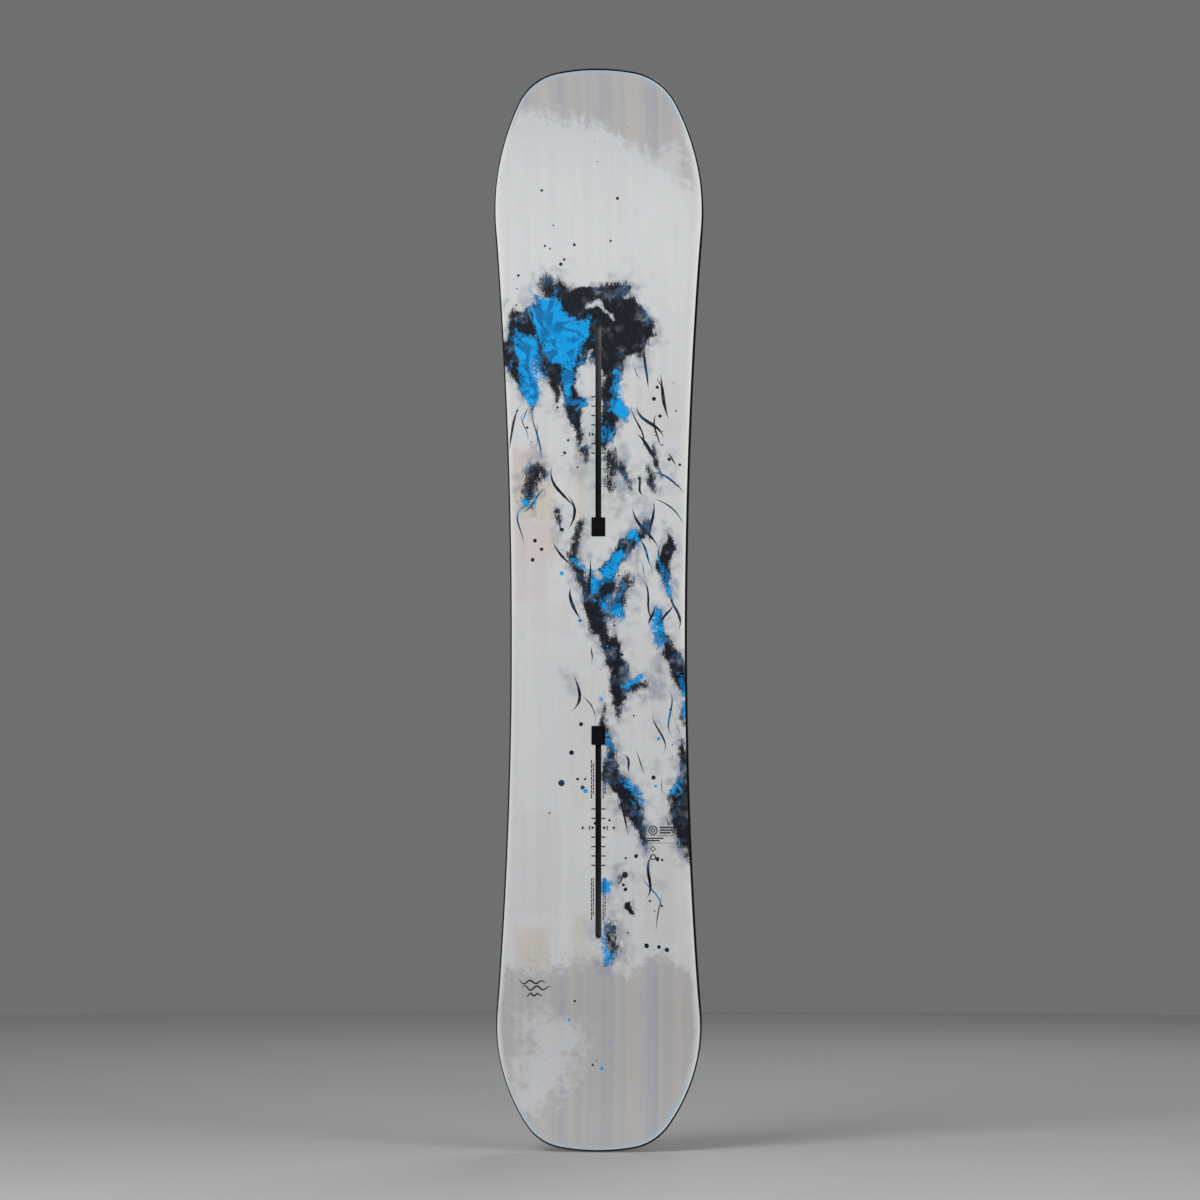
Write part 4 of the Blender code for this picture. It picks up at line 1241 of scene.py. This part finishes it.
def strokes_and_drops(s, colour, black, blue):
    """Tapered brush strokes in two layers, then round drops."""
    for name in ("stroke_a", "stroke_b"):
        (along, off, width, is_blue), _ = s.attribute(name)
        taper = s.math("SUBTRACT", 1.0, along * along, True) ** 1.7
        edge = width * taper * (s.middle + 0.95) - abs(off)
        share = s.smooth(edge + s.fine * 0.5, -0.12, 0.22) * s.math("GREATER_THAN", width, 0.01)
        colour = s.mix(share, colour, s.mix(is_blue * s.smooth(s.middle, -0.1, 0.1), black, blue))
    (drop_x, drop_z, radius, is_blue), _ = s.attribute("drop")
    away = s.math("SQRT", drop_x * drop_x + drop_z * drop_z)
    edge = radius - away + s.middle * 1.6
    share = s.smooth(edge + s.fine * 0.6, -0.15, 0.25) * s.math("GREATER_THAN", radius, 0.01)
    return s.mix(share, colour, s.mix(is_blue, black, blue))


def printed_topsheet():
    """The print from the paper up: bands, rim, washes, black and blue ink, strokes and drops."""
    s = Printed()
    ground = washes(s, rim_lines_and_edge_highlight(s, bands(s, paper(s))))
    covered, black, inked = black_ink(s)
    colour, blue = blue_ink(s, s.mix(covered, ground, black), covered, inked)
    colour = strokes_and_drops(s, colour, black, blue)
    roughness = s.smooth(s.noise(2 * MM, 4, 0.6), 0.3, 0.7, 0.32, 0.42)
    return s.done(colour, roughness, specular=0.22, bump=(s.noise(1.6 * MM, 3, 0.55), 0.03 * MM, 0.25))


# ---------------------------------------- the pieces


def on_board(obj, slot, *nodes, body="board"):
    """Rides obj on a body and lets it stand for its CAD nodes."""
    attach(obj, body)
    if nodes:
        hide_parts(*nodes)
    return obj


def make_base(finish):
    inset = EDGE_WIDTH + BOND
    base = plate("running_base", finish, (level(0), level(BASE_THICKNESS)), lambda z, height: inset)
    on_board(base, "base", "base_running_surface")


def make_edge(side_name, side, finish):
    """The steel edge, with its corners broken as a file leaves them."""
    broken = 0.15 * MM
    flange_in = EDGE_WIDTH + EDGE_FLANGE
    flange_low = BASE_THICKNESS + BOND
    corners = [(broken, 0), (0, broken), (0, EDGE_HEIGHT - broken), (broken, EDGE_HEIGHT)]
    corners += [(flange_in, EDGE_HEIGHT), (flange_in, flange_low)]
    corners += [(EDGE_WIDTH, flange_low), (EDGE_WIDTH, 0)]
    corners = [(level(inset), level(height)) for inset, height in corners]
    edge = band(f"ground_edge_{side_name}", finish, side, corners)
    on_board(edge, "edge_steel", f"steel_edge_{side_name}")


def make_sidewall(side_name, side, finish):
    inner = level(SIDEWALL_LEDGE + SIDEWALL_WIDTH)
    corners = [
        (lambda z: bevel_inset(z, SIDEWALL_LOW), level(SIDEWALL_LOW)),
        (lambda z: bevel_inset(z, core_top(z)), core_top),
        (inner, core_top),
        (inner, level(SIDEWALL_LOW)),
    ]
    sidewall = band(f"planed_sidewall_{side_name}", finish, side, corners, CORE_TAIL, CORE_NOSE)
    on_board(sidewall, "sidewall", f"sidewall_{side_name}")


def make_fillers(finish):
    heights = (level(SIDEWALL_LOW), core_top)
    tail = plate("tail_filler_piece", finish, heights, bevel_inset, z_to=CORE_TAIL - BOND)
    on_board(tail, "tip_filler", "tail_tip_filler")
    nose = plate("nose_filler_piece", finish, heights, bevel_inset, z_from=CORE_NOSE + BOND)
    on_board(nose, "tip_filler", "nose_tip_filler")


def make_upper_layers(laminate_finish, topsheet_finish):
    laminate = plate("tinted_laminate", laminate_finish, (laminate_low, glass_top), bevel_inset)
    open_channels(laminate, TOPSHEET_REVEAL, laminate_low, glass_top)
    on_board(laminate, "fiberglass", "upper_fiberglass_laminate")
    topsheet = topsheet_mesh("printed_topsheet", topsheet_finish)
    open_channels(topsheet, TOPSHEET_REVEAL, topsheet_low, topsheet_top)
    print_fields(topsheet)
    on_board(topsheet, "topsheet", "topsheet")


def make_rail(channel, finish):
    """A channel's moulding: a box with lips over its cavity, and a chamfer round the slot between them."""
    top = core_top(channel.mark)
    under_lip = top - RAIL_LIP
    chamfer = 0.25 * MM
    past = 0.2 * MM  # also how deep the window's square corners reach into the cavity's round ones
    outside = (WINDOW_WIDTH + 2 * RAIL_WALL, RAIL_WALL, CAVITY_PAST_SLOT + RAIL_WALL)
    box = channel.block(*outside, WINDOW_CORNER + RAIL_WALL)
    cavity = channel.block(WINDOW_WIDTH, 0, CAVITY_PAST_SLOT, WINDOW_CORNER)
    rail = prism(f"{channel.prefix}_rail_moulding", finish, box, CORE_LOW, top)
    cut(rail, prism("cavity", None, cavity, CORE_LOW + RAIL_FLOOR, under_lip))
    opening = stack(
        "opening",
        None,
        (channel.keyhole(0), under_lip - past),
        (channel.keyhole(0), top - chamfer),
        (channel.keyhole(chamfer), top),
        (channel.keyhole(chamfer), top + past),
    )
    cut(rail, opening)
    on_board(rail, "channel_rail", f"{channel.prefix}_channel_rail")


def make_plug(channel, finish, mark_finish):
    """The window's cap: a plug with a lead-in and a pocket below, and a raised border round a sunk face."""
    foot = core_top(channel.mark) - RAIL_LIP - PLUG_BELOW_LIP
    seat = topsheet_top(channel.mark) + BOND
    cap = seat + PLUG_CAP_HEIGHT
    rounding = 0.3 * MM
    border = 2.2 * MM
    sunk = 0.35 * MM
    eased = 0.1 * MM
    levels = [
        (channel.window(-PLUG_CLEARANCE - rounding), foot),
        (channel.window(-PLUG_CLEARANCE), foot + rounding),
        (channel.window(-PLUG_CLEARANCE), seat),
        (channel.window(PLUG_LEDGE - eased), seat),
        (channel.window(PLUG_LEDGE), seat + eased),
    ]
    for i in range(5):
        angle = math.radians(90 * i / 4)
        grow = PLUG_LEDGE - rounding * (1 - math.cos(angle))
        levels.append((channel.window(grow), cap - rounding * (1 - math.sin(angle))))
    levels.append((channel.window(PLUG_LEDGE - border), cap))
    levels.append((channel.window(PLUG_LEDGE - border - sunk), cap - sunk))
    plug = stack(f"{channel.prefix}_plug_moulding", finish, *levels)
    pocket = channel.window(-PLUG_CLEARANCE - 1.8 * MM)
    cut(plug, prism("pocket", None, pocket, foot - MM, seat - 0.2 * MM))
    body = f"{channel.prefix}_plug"
    on_board(plug, "channel_plug", f"{channel.prefix}_channel_plug", body=body)

    middle = channel.window_middle / MM
    wings = [(-4.6, middle - 2.4, 0.75), (0, middle + 3.2, 0.75), (4.6, middle - 2.4, 0.75)]
    name = f"{channel.prefix}_plug_chevron"
    chevron = strokes_in_relief(name, mark_finish, [(wings, False)], level(cap - sunk), 0.05, 0.12)
    on_board(chevron, "channel_plug", body=body)


def strokes_in_relief(name, finish, strokes, surface, sunk, proud):
    """Thin closed solids along strokes of (x, z, half width), in millimetres, that stand on surface(z)."""
    bm = bmesh.new()
    for points, closed in strokes:
        count = len(points)
        rows = []
        for i, (x, z, half) in enumerate(points):
            before = points[i - 1] if closed or i else points[0]
            after = points[(i + 1) % count] if closed or i < count - 1 else points[-1]
            direction = Vector((after[0] - before[0], after[1] - before[1])).normalized()
            side = Vector((direction.y, -direction.x)) * half
            row = []
            for sign, rise in ((1, -sunk), (1, proud), (-1, proud), (-1, -sunk)):
                px, pz = (x + side.x * sign) * MM, (z + side.y * sign) * MM
                row.append(bm.verts.new(place(px, pz, surface(pz) + rise * MM)))
            rows.append(row)
        pairs = list(zip(rows, rows[1:])) + ([(rows[-1], rows[0])] if closed else [])
        for one, two in pairs:
            for i in range(4):
                bm.faces.new((one[i], one[(i + 1) % 4], two[(i + 1) % 4], two[i]))
        if not closed:
            bm.faces.new(rows[0])
            bm.faces.new(rows[-1][::-1])
    return finish_object(name, bm, finish)


# ---- the stance scale's layout, in millimetres ----
TICK_PITCH = 12.7
TICK_START = 4.3
TICK_END = 9.5
TICK_HALF = 0.85
TRIANGLES = ((9.2, 5.2), (22.4, 18.6))  # (x of the back, x of the point)
POINTER_BAR = 12.0


def stance_marks(channel):
    """Ticks each side of the slot, with pointers at the reference place."""
    mark = channel.mark / MM
    ticks = range(-2, 5) if channel.outboard > 0 else range(-4, 3)
    strokes = []
    for side in (1, -1):
        for k in ticks:
            if k:
                strokes.append(rule(side * TICK_START, side * TICK_END, mark + TICK_PITCH * k, TICK_HALF))
        for back, tip in TRIANGLES:
            strokes.append(([(side * back, mark, 2.6), (side * tip, mark, 0.1)], False))
        bar = side * POINTER_BAR
        strokes.append(([(bar, mark - 2.6, 0.8), (bar, mark + 2.6, 0.8)], False))
    return strokes


def ring(x, z, radius, half, steps=32):
    turns = [2 * math.pi * i / steps for i in range(steps)]
    return [(x + radius * math.cos(a), z + radius * math.sin(a), half) for a in turns], True


def rule(x_from, x_to, z, half=0.45):
    return [(x_from, z, half), (x_to, z, half)], False


def fine_print(x, z_low, z_high, phase):
    """A column of short dashes of uneven length, which stand for a line of small print."""
    strokes = []
    z = z_low
    while z < z_high:
        length = 2.2 + 3.6 * abs(math.sin(1.7 * z + phase))
        strokes.append(([(x, z, 0.75), (x, z + length, 0.75)], False))
        z += length + 1.1
    return strokes


def rear_motif():
    """Dashes, rules and plain rings beside the rear channel, where such boards carry small print."""
    strokes = []
    for z_low, z_high in ((312, 366), (476, 524)):
        for k, x in enumerate((-9.2, -6.6, 6.6, 9.2)):
            strokes += fine_print(x, z_low + (k % 2) * 6, z_high, k)
    strokes += [ring(74, 433, 5.6, 0.8), ring(74, 433, 2.4, 0.8)]
    strokes += [rule(83, 104 - 3 * k, 437 - 3.6 * k, 0.95) for k in range(3)]
    strokes += [rule(66, 104, z, 0.25) for z in (426, 416)]
    strokes += [rule(66, 88 - 5 * k, 422.4 - 3.2 * k, 0.95) for k in range(2)]
    strokes += [ring(74, 408, 3.6, 0.7, 4), ring(74, 397, 3.4, 0.7)]
    return strokes


def tail_flourish():
    """Three loose wavy strokes low on the heel side."""
    strokes = []
    for rise, start, end, swing in ((228, -108, -70, 2.6), (220, -104, -64, 3.4), (211, -98, -76, 2.0)):
        points = []
        for i in range(41):
            t = i / 40
            x = start + (end - start) * t
            z = rise + swing * math.sin(t * 15 + rise) * (1 - 0.4 * t)
            points.append((x, z, 0.15 + 1.0 * math.sin(math.pi * t) ** 0.6))
        strokes.append((points, False))
    return strokes


def make_marks(finish):
    marks = {
        "front_stance_marks": stance_marks(CHANNELS[0]),
        "rear_stance_marks": stance_marks(CHANNELS[1]) + rear_motif(),
        "tail_marks": tail_flourish(),
    }
    for name, strokes in marks.items():
        on_board(strokes_in_relief(name, finish, strokes, topsheet_top, 0.03, 0.05), "topsheet")


def refinish(finish, *nodes):
    """Gives CAD nodes that stay a better material."""
    for name in nodes:
        mesh = frame["nodes"][name].data
        mesh.materials.clear()
        mesh.materials.append(finish)


STEEL = edge_steel()
SIDEWALL = milled_sidewall()
LAMINATE = tinted_laminate()
# spans of painted highlight on the rails, paler towards each slot's outboard end
PAINTED_HIGHLIGHT_SPANS = [(FRONT_MARK - 60 * MM, CHANNELS[0].slot_end, 1.0), (REAR_MARK, CHANNELS[1].slot_end, 0.4)]
NYLON = ((0.012, 0.012, 0.013), (0.034, 0.034, 0.036))
RAIL = moulded_plastic("moulded nylon", *NYLON, 0.36, 0.5 * MM, PAINTED_HIGHLIGHT_SPANS)
PLUG = moulded_plastic("plug plastic", (0.001, 0.001, 0.0015), (0.005, 0.005, 0.006), 0.40, 0.35 * MM)
CHEVRON = moulded_plastic("chevron plastic", (0.006, 0.008, 0.030), (0.02, 0.03, 0.08), 0.30, 0.35 * MM)
INK_MARKS = printed_ink()
RUBBER = damping_rubber()
DENSE_WOOD = core_wood("dense core wood", (0.46, 0.29, 0.15), (0.30, 0.17, 0.08), 2.4 * MM)
PALE_WOOD = core_wood("pale core wood", (0.66, 0.52, 0.34), (0.50, 0.36, 0.21), 3.2 * MM)

make_base(sintered_base())
for side_name, side in SIDES:
    make_edge(side_name, side, STEEL)
    make_sidewall(side_name, side, SIDEWALL)
make_fillers(SIDEWALL)
make_upper_layers(LAMINATE, printed_topsheet())
for channel in CHANNELS:
    make_rail(channel, RAIL)
    make_plug(channel, PLUG, CHEVRON)
make_marks(INK_MARKS)
refinish(RUBBER, "edge_damping_foil_toe", "edge_damping_foil_heel")
refinish(LAMINATE, "lower_fiberglass_laminate")
refinish(DENSE_WOOD, "core_stave_centre")
for side_name, _ in SIDES:
    refinish(DENSE_WOOD, f"core_stave_{side_name}_2", f"core_stave_{side_name}_outer")
    refinish(PALE_WOOD, f"core_stave_{side_name}_1", f"core_stave_{side_name}_3")


# ---------------------------------------- the studio

FLOOR_RADIUS = 4.1
CAMERA_AZIMUTH = math.radians(4)
CAMERA_DISTANCE = 12.0
CAMERA_TARGET = Vector((0.002, 0.03, 0.744))
FRAME_HEIGHT = 1.621  # how much of the board's plane the picture takes in


def studio_floor():
    """A pale matt floor with a faint mottle."""
    s = Shader("studio floor")
    mottle = s.mix(s.noise(0.5, 3), (0.56, 0.56, 0.56), (0.60, 0.60, 0.60))
    finish = s.done(mottle, s.smooth(s.noise(0.02, 3), 0.3, 0.7, 0.62, 0.72))
    bm = bmesh.new()
    bmesh.ops.create_circle(bm, cap_ends=True, segments=256, radius=FLOOR_RADIUS)
    floor = finish_object("studio_floor", bm, finish)


def area_light(name, place_at, aim, size, power, colour=(1, 1, 1)):
    light = bpy.data.lights.new(name, "AREA")
    light.shape = "RECTANGLE"
    light.size, light.size_y = size
    light.energy = power
    light.color = colour
    lamp = bpy.data.objects.new(name, light)
    bpy.context.scene.collection.objects.link(lamp)
    lamp.location = place_at
    lamp.rotation_euler = (Vector(aim) - Vector(place_at)).to_track_quat("-Z", "Y").to_euler()


def studio():
    studio_floor()
    world = bpy.data.worlds.new("studio")
    bpy.context.scene.world = world
    world.use_nodes = True
    background = world.node_tree.nodes["Background"]
    background.inputs["Color"].default_value = (0.77, 0.78, 0.79, 1)
    background.inputs["Strength"].default_value = 0.205
    area_light("key", (-1.4, -2.4, 2.4), (0, 0, 1.05), (1.6, 1.6), 60, (1.0, 0.995, 0.985))
    area_light("fill", (2.2, -2.2, 1.8), (0, 0, 0.9), (1.8, 1.8), 25, (0.98, 0.99, 1.0))
    area_light("rim", (0.6, 2.8, 2.6), (0, 0, 0.9), (1.6, 1.6), 20)
    bpy.context.scene.view_settings.view_transform = "Standard"
    camera = bpy.data.objects.new("camera", bpy.data.cameras.new("camera"))
    bpy.context.scene.collection.objects.link(camera)
    away = Vector((math.sin(CAMERA_AZIMUTH), -math.cos(CAMERA_AZIMUTH), 0))
    camera.location = CAMERA_TARGET + away * CAMERA_DISTANCE
    camera.rotation_euler = (-away).to_track_quat("-Z", "Y").to_euler()
    camera.data.sensor_fit = "AUTO"
    camera.data.angle = 2 * math.atan(FRAME_HEIGHT / 2 / CAMERA_DISTANCE)
    bpy.context.scene.camera = camera


studio()
